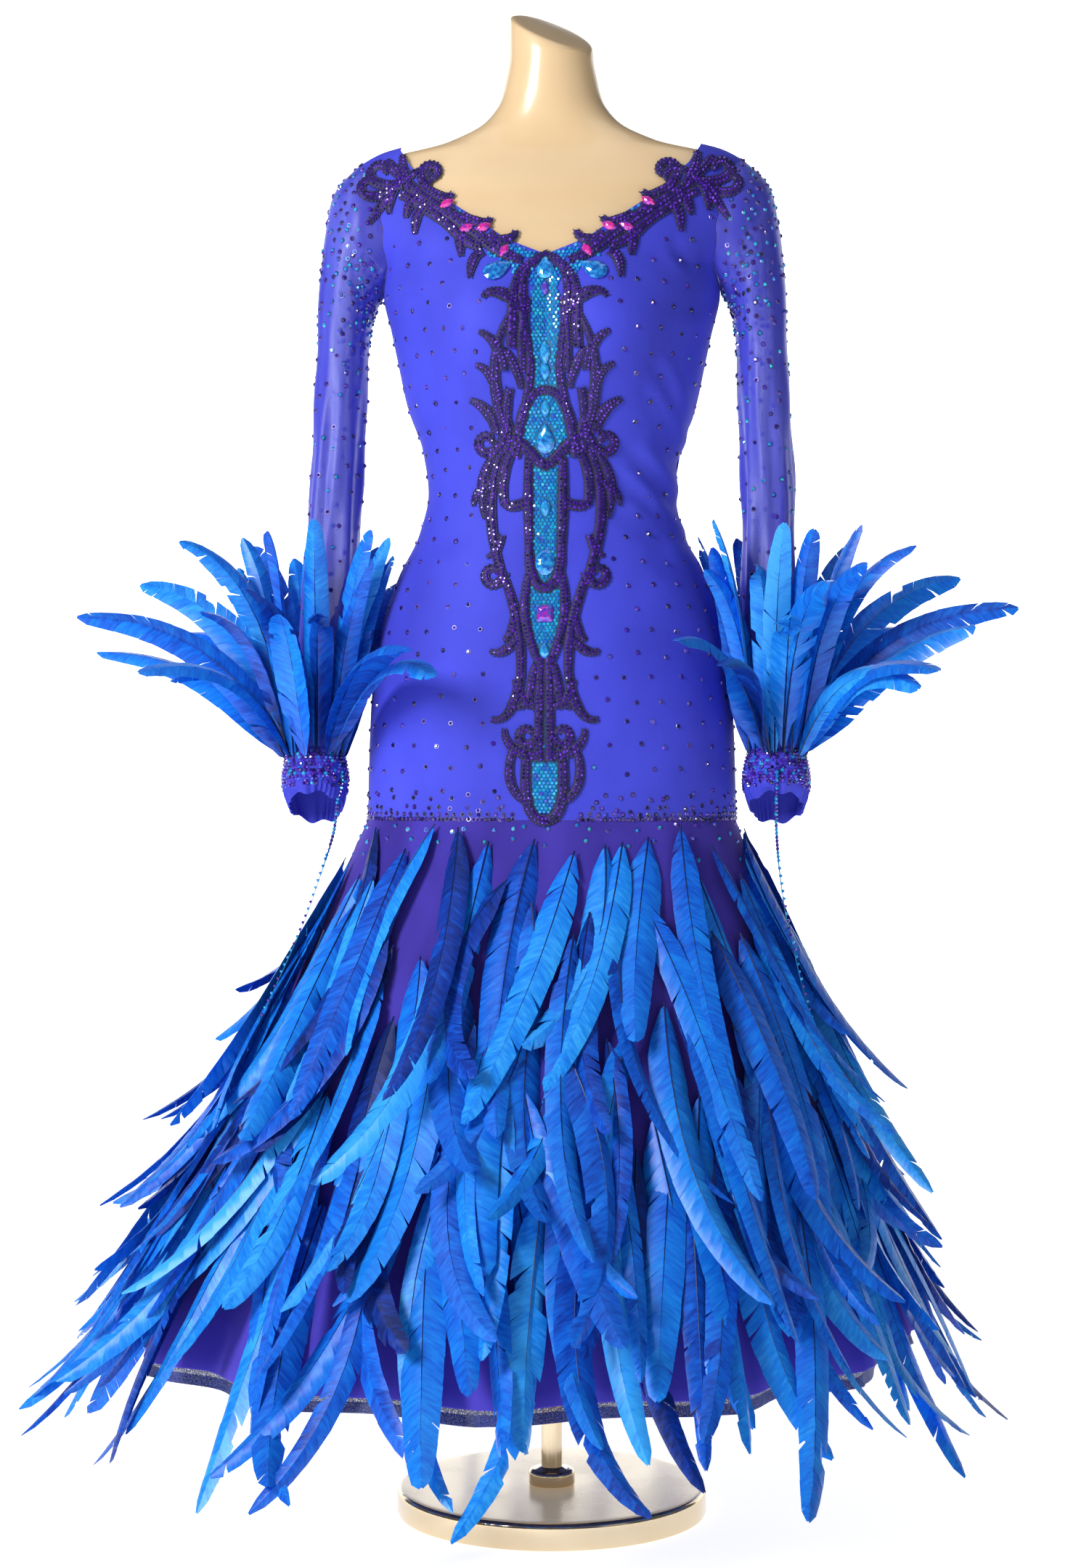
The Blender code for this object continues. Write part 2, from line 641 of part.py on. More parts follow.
def seam_step(outer, inner, side):
    """The two loops moved away from the bodice by a seam's gap, along the cloth."""
    count = len(outer)
    moved = ([], [])
    for k in range(count):
        along = outer[(k + 1) % count] - outer[k - 1]
        normal = outer[k] - inner[k]
        away = normal.cross(along).normalized() * side
        for layer, loop in enumerate((outer, inner)):
            moved[layer].append(loop[k] + away * SEAM_GAP * 1.3)
    return moved


def tube_wall(name, outer_rings, inner_rings, material):
    """A wall between two stacks of rings that are open at both ends."""
    sides = len(outer_rings[0])
    outer = [point for ring in outer_rings for point in ring]
    inner = [point for ring in inner_rings for point in ring]
    return wall_object(name, outer, inner, ring_faces(len(outer_rings), sides), material)


def oval_ring(top, under, half_depth, count):
    """Points of an oval between its top and under points, by way of the front."""
    centre = (top + under) / 2
    reach = (top - under) / 2
    ring = []
    for k in range(count):
        angle = 2 * math.pi * k / count
        ring.append(centre + reach * math.cos(angle) + Vector((0, -half_depth * math.sin(angle), 0)))
    return ring, centre


def make_sleeve(side_name, side, rows, mesh_cloth):
    """A sheer tube from the armhole over the shoulder cap and down to the cuff."""
    outer_loop, inner_loop = armhole_loop(rows, side_name)
    outer_first, inner_first = seam_step(outer_loop, inner_loop, side)
    outer_rings = [outer_first]
    inner_rings = [inner_first]
    count = len(outer_first)
    wrist = WRIST_X[side_name]
    last = (wrist + WRIST_HALF_WIDTH, SLEEVE_END, wrist - WRIST_HALF_WIDTH, SLEEVE_END,
            WRIST_HALF_DEPTH, WRIST_Y)
    for top_x, top_z, under_x, under_z, half_depth, middle_y in SLEEVE_RINGS + (last,):
        shift = (wrist - WRIST_X["right"]) * blend(1.10 - top_z, 0.0, 0.26)
        if top_z == SLEEVE_END:
            shift = 0.0
        top = Vector(((top_x + shift) * side, middle_y, top_z))
        under = Vector(((under_x + shift) * side, middle_y, under_z))
        outer, centre = oval_ring(top, under, half_depth, count)
        inner = [p + (centre - p).normalized() * SLEEVE_CLOTH for p in outer]
        outer_rings.append(outer)
        inner_rings.append(inner)
    tube_wall(f"sleeve_{side_name}", outer_rings, inner_rings, mesh_cloth)
    return count


def cuff_ring(side_name, side, row, count, outward=0.0):
    """One ring of a cuff, lower at the back, moved out or in by a distance."""
    height, half_width, half_depth, rise = row
    ring = []
    for k in range(count):
        angle = 2 * math.pi * k / count
        x = WRIST_X[side_name] + (half_width + outward) * math.cos(angle)
        y = WRIST_Y - (half_depth + outward) * math.sin(angle)
        ring.append(Vector((x * side, y, height + rise * math.sin(angle))))
    return ring


def make_cuff(side_name, side, count, jersey):
    """A flared cuff under the sleeve, with its mouth tilted to the front."""
    outer = [cuff_ring(side_name, side, row, count) for row in CUFF_RINGS]
    inner = [cuff_ring(side_name, side, row, count, -CLOTH) for row in CUFF_RINGS]
    tube_wall(f"cuff_{side_name}", outer, inner, jersey)


def flute_angles():
    """Angles round the skirt at which its points lie, with each one's wave from -1 to 1."""
    total = sum(share for share, depth in FLUTES)
    start = 0.0
    places = []
    for share, depth in FLUTES:
        for k in range(FLUTE_POINTS):
            local = k / FLUTE_POINTS
            angle = 2 * math.pi * (start + share * local) / total
            places.append((angle, depth * math.cos(2 * math.pi * local)))
        start += share
    return places


def hip_point(angle, offset):
    """Point of the hip seam's section, with its horizontal outward direction."""
    quarter = angle % (2 * math.pi)
    facing = -1 if math.cos(quarter) >= 0 else 1
    side = 1 if math.sin(quarter) >= 0 else -1
    fold = math.asin(min(abs(math.sin(quarter)), 1.0))
    point, normal = body_surface(HIP_SEAM, fold, facing)
    normal.z = 0.0
    normal.normalize()
    return mirrored(point + normal * offset, side), mirrored(normal, side)


def skirt_point(angle, share, wave, inward=0.0):
    """Point of the skirt's outer face at an angle and a share of the way to the hem."""
    hip, normal = hip_point(angle, EASE + CLOTH)
    around = Vector((math.sin(angle), -math.cos(angle), 0.0))
    hem = Vector((
        HEM_CENTRE_X + HEM_HALF_WIDTH * around.x, HEM_HALF_DEPTH * around.y, HEM))
    hip.z = HIP_SEAM - SEAM_GAP
    out = (normal * (1 - min(share, 1.0)) + around * min(share, 1.0)).normalized()
    flare = FLUTE_DEPTH * wave * share ** FLUTE_GROWTH
    return hip + (hem - hip) * share + out * (flare - inward), out


def make_skirt(georgette, net):
    """The flared, fluted skirt and the net petticoat inside it."""
    places = flute_angles()
    layers = (
        ("skirt", SKIRT_ROWS, georgette, lambda share: 0.0),
        ("net_petticoat", NET_ROWS, net, lambda share: CLOTH * 1.15 + NET_GAP_TOP
         + (NET_GAP_LOW - NET_GAP_TOP) * blend(share, NET_ROWS[0], 0.5)),
    )
    for name, shares, material, inset in layers:
        outer = []
        inner = []
        for share in shares:
            start = inset(share)
            outer.append([skirt_point(a, share, w, start)[0] for a, w in places])
            inner.append([skirt_point(a, share, w, start + CLOTH * 1.1)[0] for a, w in places])
        tube_wall(name, outer, inner, material)


def envelope_frame(angle, share):
    """Point, outward normal and downward direction on the cone over the skirt's crests."""
    here = skirt_point(angle, share, 1.2)[0]
    below = skirt_point(angle, share + 0.01, 1.2)[0]
    beside = skirt_point(angle + 0.01, share, 1.2)[0]
    down = (below - here).normalized()
    normal = (beside - here).cross(down).normalized()
    if normal.dot(Vector((here.x, here.y, 0.0))) < 0:
        normal = -normal
    return here, normal, down


def add_feather(points, faces, stations, tip):
    """A long closed blade with a raised rib: left, right and rib points at each station."""
    base = len(points)
    for left, right, rib in stations:
        points += [left, right, rib]
    points.append(tip)
    last = base + 3 * (len(stations) - 1)
    for s in range(len(stations) - 1):
        low = base + 3 * s
        for k in range(3):
            after = (k + 1) % 3
            faces.append((low + k, low + after, low + 3 + after, low + 3 + k))
    faces.append((base + 2, base + 1, base))
    for k in range(3):
        faces.append((last + k, last + (k + 1) % 3, base + 3 * len(stations)))


def blade_stations(path, width, roll):
    """Sections of a feather along a path of points and outward normals, and its tip."""
    stations = []
    for k, (share, wide, rib) in enumerate(FEATHER_SECTIONS):
        here, normal = path[k]
        along = (path[k + 1][0] - here).normalized()
        across = along.cross(normal).normalized()
        out = across.cross(along).normalized()
        across = across * math.cos(roll) + out * math.sin(roll)
        out = across.cross(along).normalized()
        half = across * width / 2 * wide
        stations.append((here - half, here + half, here + out * FEATHER_RIB * rib))
    return stations, path[-1][0]


def fuse(item, cutters):
    """Join other closed shapes to an object, and hide them."""
    for cutter in cutters:
        cutter.hide_render = True
        cutter.display_type = "WIRE"
        union = item.modifiers.new("join", "BOOLEAN")
        union.operation = "UNION"
        union.solver = "EXACT"
        union.use_self = True
        union.object = cutter


def make_skirt_tier(number, tier, strip_cloth, feather):
    """A strip round the skirt with one row of feathers rooted in it."""
    height, count, length, width, strip_gap, seed = tier
    dice = random.Random(seed)
    phase = dice.uniform(0, 2 * math.pi)
    share_mean = (HIP_SEAM - height) / (HIP_SEAM - HEM)
    fall = HIP_SEAM - HEM

    def share_at(angle):
        """Share of the skirt's height at which the strip lies, a little wavy."""
        return share_mean + STRIP_WAVE * math.sin(5 * angle + phase) / fall

    stretch = 1 / math.cos(math.pi / STRIP_SIDES)
    corners = []
    for k in range(STRIP_SIDES):
        angle = 2 * math.pi * k / STRIP_SIDES
        here, normal, down = envelope_frame(angle, share_at(angle))
        middle = Vector((HEM_CENTRE_X * share_mean, 0.0, here.z))
        here = middle + (here + normal * strip_gap - middle) * stretch
        corners.append((here, normal, down))
    points = []
    for rise, thick in ((0.5, 0.0), (0.5, 1.0), (-0.5, 1.0), (-0.5, 0.0)):
        for here, normal, down in corners:
            points.append(here + normal * thick * STRIP_THICKNESS - down * rise * STRIP_HEIGHT)
    faces = ring_faces(4, STRIP_SIDES)
    last = 3 * STRIP_SIDES
    for k in range(STRIP_SIDES):
        after = (k + 1) % STRIP_SIDES
        faces.append((last + k, last + after, after, k))
    strip = mesh_object(f"skirt_feathers_{number}", points, faces, strip_cloth)

    points = []
    faces = []
    slant = math.hypot(fall, HEM_HALF_WIDTH - 0.19) / fall
    for k in range(count):
        angle = 2 * math.pi * (k + 0.5 * (number % 2) + dice.uniform(-0.10, 0.10)) / count
        start = share_at(angle)
        reach = length * dice.uniform(0.88, 1.10)
        drift = 0.05 * math.sin(3 * angle + phase) + dice.uniform(-0.02, 0.02)
        curl = SKIRT_CURL * dice.uniform(0.0, 1.0) ** 2
        roll = math.radians(dice.uniform(-4, 4))
        root, normal = strip_middle(corners, angle)
        path = [(root, normal)]
        for part in [section[0] for section in FEATHER_SECTIONS[1:]] + [1.0]:
            share = start + part * reach / slant / fall
            here, normal, down = envelope_frame(angle + drift * part, share)
            bend = curl * max(0.0, (part - CURL_START) / (1 - CURL_START)) ** 2
            lift = FEATHER_LIFT + TIER_LIFT * part * reach + bend
            path.append((here + normal * lift, normal))
        stations, tip = blade_stations(path, width * dice.uniform(0.85, 1.1), roll)
        add_feather(points, faces, stations, tip)
    feathers = mesh_object(f"blades_{number}", points, faces, feather)
    fuse(strip, [feathers])


def strip_middle(corners, angle):
    """Point in the middle of a strip's thickness at an angle, and the outward normal there."""
    place = (angle % (2 * math.pi)) / (2 * math.pi) * len(corners)
    before = int(place) % len(corners)
    share = place - int(place)
    start, start_normal, start_down = corners[before]
    end, end_normal, end_down = corners[(before + 1) % len(corners)]
    normal = start_normal.lerp(end_normal, share).normalized()
    return start.lerp(end, share) + normal * STRIP_THICKNESS * 0.45, normal


def make_cuff_feathers(side_name, side, count, strip_cloth, feather):
    """A strip round the top of a cuff with its burst of upward feathers."""
    row = (CUFF_STRIP_TOP, 0.0276, 0.0306, 0.0)
    low_row = (CUFF_STRIP_TOP - CUFF_STRIP_HEIGHT, 0.0296, 0.0322, 0.0)
    inner_top = cuff_ring(side_name, side, row, count, CUFF_STRIP_GAP)
    outer_top = cuff_ring(side_name, side, row, count, CUFF_STRIP_GAP + STRIP_THICKNESS)
    outer_low = cuff_ring(side_name, side, low_row, count, CUFF_STRIP_GAP + STRIP_THICKNESS)
    inner_low = cuff_ring(side_name, side, low_row, count, CUFF_STRIP_GAP)
    points = inner_top + outer_top + outer_low + inner_low
    faces = ring_faces(4, count)
    last = 3 * count
    for k in range(count):
        after = (k + 1) % count
        faces.append((last + k, last + after, after, k))
    strip = mesh_object(f"cuff_feathers_{side_name}", points, faces, strip_cloth)

    points = []
    faces = []
    root_out = CUFF_STRIP_GAP + STRIP_THICKNESS * 0.55
    for azimuth, bend_z, bend_r, tip_z, tip_r, width in CUFF_FEATHERS:
        turn = math.radians(azimuth)
        away = Vector((math.cos(turn) * side, -math.sin(turn), 0.0))
        root = Vector((
            (WRIST_X[side_name] + (0.0284 + root_out) * math.cos(turn)) * side,
            WRIST_Y - (0.0313 + root_out) * math.sin(turn),
            CUFF_STRIP_TOP - CUFF_STRIP_HEIGHT * 0.5,
        ))
        path = []
        for part in [section[0] for section in FEATHER_SECTIONS] + [1.0]:
            rise = 2 * part * (1 - part) * bend_z + part * part * tip_z
            reach = 2 * part * (1 - part) * bend_r + part * part * tip_r
            rise_rate = 2 * (1 - 2 * part) * bend_z + 2 * part * tip_z
            reach_rate = 2 * (1 - 2 * part) * bend_r + 2 * part * tip_r
            normal = (away * rise_rate - Vector((0, 0, 1)) * reach_rate).normalized()
            path.append((root + away * reach + Vector((0, 0, rise)), normal))
        stations, tip = blade_stations(path, width, 0.0)
        add_feather(points, faces, stations, tip)
    feathers = mesh_object(f"cuff_blades_{side_name}", points, faces, feather)
    fuse(strip, [feathers])


def scroll_path(start_x, start_z, start_heading, end_x, end_z, end_heading, coil):
    """Points along a scroll: a smooth curve between two headings, then a shrinking coil."""
    first = Vector((start_x, start_z)) / 1000
    last = Vector((end_x, end_z)) / 1000
    reach = (last - first).length * 1.1
    leave = Vector((math.cos(math.radians(start_heading)), math.sin(math.radians(start_heading))))
    arrive = Vector((math.cos(math.radians(end_heading)), math.sin(math.radians(end_heading))))
    bend = math.degrees(leave.angle(last - first) + arrive.angle(last - first))
    steps = max(math.ceil(reach / SCROLL_STEP), math.ceil(bend / SCROLL_BEND), 2)
    path = []
    for k in range(steps + 1):
        t = k / steps
        path.append(
            first * (1 + 2 * t) * (1 - t) ** 2 + last * t * t * (3 - 2 * t)
            + leave * reach * t * (1 - t) ** 2 - arrive * reach * t * t * (1 - t))
    turns = math.ceil(abs(coil) / SCROLL_BEND)
    heading = math.radians(end_heading)
    place = last.copy()
    for k in range(turns):
        radius = COIL_RADIUS * (1 - (1 - COIL_SHRINK) * (k + 0.5) / turns)
        turn = math.radians(coil) / turns
        heading += turn / 2
        place = place + Vector((math.cos(heading), math.sin(heading))) * radius * abs(turn)
        heading += turn / 2
        path.append(place)
    return path


def scroll_width(widths, part):
    """Width of a scroll at a share of its length, in metres."""
    start, middle, end = widths
    if part < 0.5:
        return (start + (middle - start) * part * 2) / 1000
    return (middle + (end - middle) * (part - 0.5) * 2) / 1000


def add_scroll(points, faces, scroll, side, low):
    """One raised scroll with a ridge, flat underneath, in the motif's own plane."""
    path = scroll_path(*scroll[:7])
    base = len(points)
    for k, place in enumerate(path):
        ahead = path[min(k + 1, len(path) - 1)]
        behind = path[max(k - 1, 0)]
        along = (ahead - behind).normalized()
        across = Vector((-along.y, along.x)) * scroll_width(scroll[7], k / (len(path) - 1)) / 2
        points.append(Vector(((place.x + across.x) * side, low, place.y + across.y)))
        points.append(Vector(((place.x - across.x) * side, low, place.y - across.y)))
        points.append(Vector((place.x * side, SCROLL_RISE, place.y)))
    faces += [tuple(base + k for k in quad) for quad in ring_faces(len(path), 3)]
    last = base + 3 * (len(path) - 1)
    faces.append((base + 2, base + 1, base))
    faces.append((last, last + 1, last + 2))


def add_plate(points, faces, outline, rise):
    """A low plate, symmetric about the middle line, from heights and half widths."""
    base = len(points)
    for level in (0.0, rise):
        for z, half in outline:
            points += [Vector((x, level, z)) for x in (half, 0.0, -half)]
    count = 3 * len(outline)
    for r in range(len(outline) - 1):
        low = base + 3 * r
        high = low + count
        for k in (0, 1):
            faces.append((low + k, low + k + 1, low + k + 4, low + k + 3))
            faces.append((high + k + 3, high + k + 4, high + k + 1, high + k))
        faces.append((low, low + 3, high + 3, high))
        faces.append((low + 5, low + 2, high + 2, high + 5))
    end = base + count - 3
    for k in (0, 1):
        faces.append((base + k + 1, base + k, base + k + count, base + k + 1 + count))
        faces.append((end + k, end + k + 1, end + k + 1 + count, end + k + count))


def add_stone(points, faces, x, z, half_width, half_height, sides, tilt=0.0):
    """A cut stone: a ring of facets up to a smaller flat table, no corner straight up."""
    base = len(points)
    first = math.pi / 4 if sides == 4 else 0.0
    for level, size in ((STONE_SINK, 1.0), (STONE_RISE * 0.45, 1.0), (STONE_RISE, 0.5)):
        for k in range(sides):
            angle = first + 2 * math.pi * k / sides
            across = half_width * size * math.cos(angle)
            up = half_height * size * math.sin(angle)
            turned_x = across * math.cos(tilt) - up * math.sin(tilt)
            turned_z = across * math.sin(tilt) + up * math.cos(tilt)
            points.append(Vector((x + turned_x, level, z + turned_z)))
    for quad in ring_faces(3, sides):
        faces.append(tuple(base + k for k in quad))
    faces.append(tuple(range(base, base + sides))[::-1])
    faces.append(tuple(range(base + 2 * sides, base + 3 * sides)))


def evaluated_mesh(item):
    """A plain mesh of an object with its modifiers applied."""
    graph = bpy.context.evaluated_depsgraph_get()
    return bpy.data.meshes.new_from_object(item.evaluated_get(graph))


def cloth_tree(names):
    """A search tree over the named cloth pieces, to lay a motif on them."""
    points = []
    faces = []
    for name in names:
        mesh = bpy.data.objects[name].data
        start = len(points)
        points += [v.co.copy() for v in mesh.vertices]
        faces += [tuple(start + i for i in polygon.vertices) for polygon in mesh.polygons]
    return BVHTree.FromPolygons(points, faces)


def lay_on_cloth(mesh, tree, fallback_x, gap):
    """Move a flat motif's points onto the front of the cloth, and out by their own rise."""
    for vertex in mesh.vertices:
        x, rise, z = vertex.co
        limit = fallback_x(z)
        side = 1 if x >= 0 else -1
        probe_x = side * max(abs(x), limit)
        hit, normal, index, distance = tree.ray_cast(Vector((probe_x, -1.0, z)), Vector((0, 1, 0)))
        if hit is None:
            hit, normal, index, distance = tree.find_nearest(Vector((probe_x, -0.03, z)))
            x = hit.x
            z = hit.z
        if z < UNDERARM or abs(probe_x) < curve_value(BODY, 1, z) * 0.97:
            height = max(z, HIP_SEAM)
            facing_normal = body_surface(height, angle_at(height, abs(probe_x)), -1)[1]
            normal = mirrored(facing_normal, side)
        elif normal.y > 0:
            normal = -normal
        vertex.co = Vector((x, hit.y, z)) + normal * (gap + rise)
    mesh.flip_normals()


def fuse_flat(name, layers, material):
    """Fuse overlapping flat shapes, each layer a list of points and faces, into one mesh."""
    items = []
    for k, (points, faces) in enumerate(layers):
        items.append(mesh_object(f"{name}_layer_{k}", points, faces, material))
    first = items[0]
    fuse(first, items[1:])
    mesh = evaluated_mesh(first)
    for item in items:
        bpy.data.objects.remove(item, do_unlink=True)
    shape = bmesh.new()
    shape.from_mesh(mesh)
    bmesh.ops.remove_doubles(shape, verts=shape.verts, dist=0.00001)
    bmesh.ops.triangulate(shape, faces=shape.faces)
    shape.to_mesh(mesh)
    shape.free()
    return mesh


def layered_scrolls(scrolls, side):
    """One side's scrolls, each a little under or over the ones that it crosses."""
    points = []
    faces = []
    for k, scroll in enumerate(scrolls):
        low = -LAYER_STEP * (k % 4 + (0.5 if side < 0 else 0.0))
        add_scroll(points, faces, scroll, side, low)
    return points, faces


def place_motif(name, mesh, cloth, edge, gap):
    """Lay a flat motif on the named cloth pieces and make it an object."""
    lay_on_cloth(mesh, cloth_tree(cloth), edge, gap)
    item = bpy.data.objects.new(name, mesh)
    bpy.context.scene.collection.objects.link(item)


def make_centre_motif(beading, stones_finish):
    """The centre front motif: a stone-covered ground with large stones, under beaded scrolls."""
    ground = ([], [])
    add_plate(*ground, CENTRE_GROUND, GROUND_RISE)
    stones = ([], [])
    for z, half_width, half_height, sides in CENTRE_STONES:
        add_stone(*stones, 0.0, z, half_width, half_height, sides)
    mesh = fuse_flat("centre_ground", [ground, stones], stones_finish)
    place_motif("centre_ground", mesh, ["bodice_front"], lambda z: 0.0, GROUND_GAP)
    halves = [layered_scrolls(CENTRE_SCROLLS, side) for side in (1, -1)]
    mesh = fuse_flat("centre_scrolls", halves, beading)
    place_motif("centre_scrolls", mesh, ["bodice_front"], lambda z: 0.0, SCROLL_GAP)


def make_neck_motif(side_name, side, beading):
    """The beaded motif along one side of the neckline, up to the shoulder."""
    scrolls = layered_scrolls(NECK_SCROLLS, side)
    stones = ([], [])
    for x, z, half_length, half_width, tilt in NECK_STONES:
        add_stone(*stones, x * side, z, half_length, half_width, 6, math.radians(tilt) * side)
    name = f"neck_scrolls_{side_name}"
    mesh = fuse_flat(name, [scrolls, stones], beading)
    cloth = ["bodice_front", f"sleeve_{side_name}"]
    place_motif(name, mesh, cloth, neck_edge, NECK_SCROLL_GAP)


def make_wrist_string(side_name, beading):
    """A narrow band of stones that hangs from the cuff down over the skirt's feathers."""
    places = [(Vector(row[:3]) / 1000, math.radians(row[3])) for row in WRIST_STRINGS[side_name]]
    tip = Vector(STRING_TIPS[side_name]) / 1000
    stations = []
    for k, (here, turn) in enumerate(places):
        following = places[k + 1][0] if k + 1 < len(places) else tip
        before = places[k - 1][0] if k else here
        along = (following - before).normalized()
        facing = Vector((math.sin(turn), -math.cos(turn), 0.0))
        across = along.cross(facing).normalized()
        out = across.cross(along)
        half = across * STRING_WIDTH / 2
        stations.append((here - half, here + half, here + out * STRING_RISE))
    points = []
    faces = []
    add_feather(points, faces, stations, tip)
    mesh_object(f"wrist_string_{side_name}", points, faces, beading)


def neck_edge(z):
    """How far from the middle the front's cloth begins at a height."""
    return line_value(FRONT_NECKLINE, z) + 0.0015


def main():
    """Build the gown and the dress form."""
    clear_scene()
    lacquer = finish("cream lacquer", (0.86, 0.72, 0.55), 0.25)
    metal = finish("pale gold metal", (0.78, 0.66, 0.48), 0.3, 1.0)
    jersey = finish("royal blue jersey", (0.07, 0.08, 0.75), 0.6)
    mesh_cloth = finish("sheer blue mesh", (0.16, 0.18, 0.72), 0.6)
    georgette = finish("violet georgette", (0.10, 0.05, 0.55), 0.7)
    net = finish("dark net", (0.02, 0.02, 0.12), 0.8)
    feather = finish("azure feather", (0.02, 0.22, 0.85), 0.5)
    beading = finish("indigo beading", (0.05, 0.01, 0.25), 0.2)
    stones = finish("aqua stones", (0.02, 0.45, 0.60), 0.1)
    make_form(lacquer, metal)
    rows = make_bodice(jersey)
    for side_name, side in (("left", 1), ("right", -1)):
        count = make_sleeve(side_name, side, rows, mesh_cloth)
        make_cuff(side_name, side, count, jersey)
        make_cuff_feathers(side_name, side, count, feather, feather)
    make_skirt(georgette, net)
    for number, tier in enumerate(FEATHER_TIERS, 1):
        make_skirt_tier(number, tier, feather, feather)
    make_centre_motif(beading, stones)
    for side_name, side in (("left", 1), ("right", -1)):
        make_neck_motif(side_name, side, beading)
        make_wrist_string(side_name, beading)


main()
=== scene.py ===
"""Looks of a feathered ballroom gown on a limbless dress form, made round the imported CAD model.

Metres, +Z up. The gown faces -Y and the wearer's left is +X, as in the CAD model. A turn is
an angle round the body in radians: 0 in front, a quarter on the wearer's left, a half behind.
"""
import math

import bmesh
import bpy
import numpy as np
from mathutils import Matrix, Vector
from mathutils.bvhtree import BVHTree


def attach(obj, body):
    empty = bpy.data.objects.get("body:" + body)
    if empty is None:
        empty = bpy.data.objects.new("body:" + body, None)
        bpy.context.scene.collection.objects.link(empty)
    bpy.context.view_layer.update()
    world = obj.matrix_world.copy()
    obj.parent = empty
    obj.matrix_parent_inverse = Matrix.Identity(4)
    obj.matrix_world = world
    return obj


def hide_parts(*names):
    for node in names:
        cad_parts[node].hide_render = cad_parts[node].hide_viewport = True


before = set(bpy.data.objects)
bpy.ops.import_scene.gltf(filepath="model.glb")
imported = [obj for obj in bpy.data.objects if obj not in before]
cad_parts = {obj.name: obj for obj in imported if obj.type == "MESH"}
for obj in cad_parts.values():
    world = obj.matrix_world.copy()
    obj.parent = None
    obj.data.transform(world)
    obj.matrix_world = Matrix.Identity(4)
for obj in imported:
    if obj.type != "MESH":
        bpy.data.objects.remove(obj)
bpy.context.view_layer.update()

# Walls, ease and seams, as in the CAD model
CLOTH = 0.0015
EASE = 0.0016
SHOULDER_EASE = 0.0032
SEAM_GAP = 0.0004
VISIBLE_CLOTH = 0.0010     # wall of the cloth that shows
SLEEVE_CLOTH = 0.0008

# Heights of the gown's own lines
HIP_SEAM = 0.7245
UNDERARM = 1.272
SHOULDER_RIDGE = 1.410
STRAP_APEX = 1.421
HEM = 0.195
HEM_CENTRE_X = -0.033
HEM_HALF_WIDTH = 0.395
HEM_HALF_DEPTH = 0.388
FLUTE_DEPTH = 0.014
FLUTE_GROWTH = 1.3

# Dress form, pole and base
BASE_RADIUS = 0.1615
BASE_HEIGHT = 0.028
POLE_RADIUS = 0.011
COLLAR_RADIUS = 0.024
COLLAR_HEIGHT = 0.016
FORM_BOTTOM = 0.655
NECK_CUT_HEIGHT = 1.550
NECK_CUT_SIDE_SLOPE = -0.40
NECK_CUT_BACK_SLOPE = 0.47
NECK_CUT_RADIUS = 0.044
# Rings of the neck's rounded rim and its slanted cut: distance in from the rim, drop
NECK_CUT_RINGS = (
    (0.0, 0.0040), (0.0008, 0.0018), (0.0030, 0.0004), (0.0065, 0.0), (0.014, -0.0004),
    (0.024, -0.0012), (0.034, -0.0016),
)
BODY_ROUNDNESS = 2.2
NECK_ROUNDNESS = 2.0
FORM_SIDES = 96
FORM_SHARP_ANGLE = 50     # degrees past which an edge of the form shows

# Dress form's cross-sections: height, half width, depth to the front, depth to the back
BODY = (
    (0.655, 0.165, 0.098, 0.112), (0.700, 0.180, 0.110, 0.127), (0.7245, 0.1895, 0.118, 0.137),
    (0.800, 0.188, 0.121, 0.136), (0.860, 0.185, 0.120, 0.130), (0.920, 0.176, 0.116, 0.118),
    (0.975, 0.158, 0.110, 0.103), (1.020, 0.136, 0.103, 0.090), (1.065, 0.126, 0.099, 0.084),
    (1.110, 0.132, 0.101, 0.088), (1.156, 0.148, 0.104, 0.096), (1.202, 0.158, 0.105, 0.102),
    (1.235, 0.165, 0.105, 0.104), (1.270, 0.173, 0.104, 0.104), (1.295, 0.1740, 0.100, 0.102),
    (1.320, 0.194, 0.094, 0.100), (1.350, 0.214, 0.082, 0.096), (1.380, 0.215, 0.070, 0.088),
    (1.400, 0.203, 0.060, 0.078), (1.415, 0.180, 0.053, 0.070), (1.430, 0.118, 0.049, 0.062),
    (1.452, 0.072, 0.047, 0.056), (1.475, 0.0545, 0.047, 0.052), (1.498, 0.0485, 0.046, 0.049),
    (1.521, 0.0445, 0.045, 0.047), (1.600, 0.0425, 0.044, 0.045),
)
BUST_X = 0.072
BUST_Z = 1.225
BUST_HEIGHT = 0.024
BUST_SPREAD = 0.044

# Neckline and armhole: height, distance from the middle
FRONT_NECKLINE = (
    (1.296, 0.0), (1.312, 0.040), (1.335, 0.070), (1.360, 0.105), (1.382, 0.128),
    (1.398, 0.143), (1.410, 0.150), (1.4165, 0.154), (1.421, 0.1555),
)
BACK_NECKLINE = (
    (1.230, 0.0), (1.272, 0.038), (1.296, 0.062), (1.335, 0.096), (1.360, 0.115),
    (1.382, 0.130), (1.398, 0.142), (1.410, 0.149), (1.4165, 0.153), (1.421, 0.1555),
)
ARMHOLE = (
    (1.290, 0.1685), (1.312, 0.1685), (1.335, 0.1690), (1.360, 0.1715), (1.382, 0.1765),
    (1.398, 0.1840), (1.410, 0.1880),
)
# Height on the armhole's seam at a turn round it in degrees, from the shoulder's ridge down
ARMHOLE_HEIGHTS = (
    (0, 1.410), (30, 1.398), (60, 1.375), (90, 1.345), (120, 1.315), (150, 1.296), (180, 1.272),
)

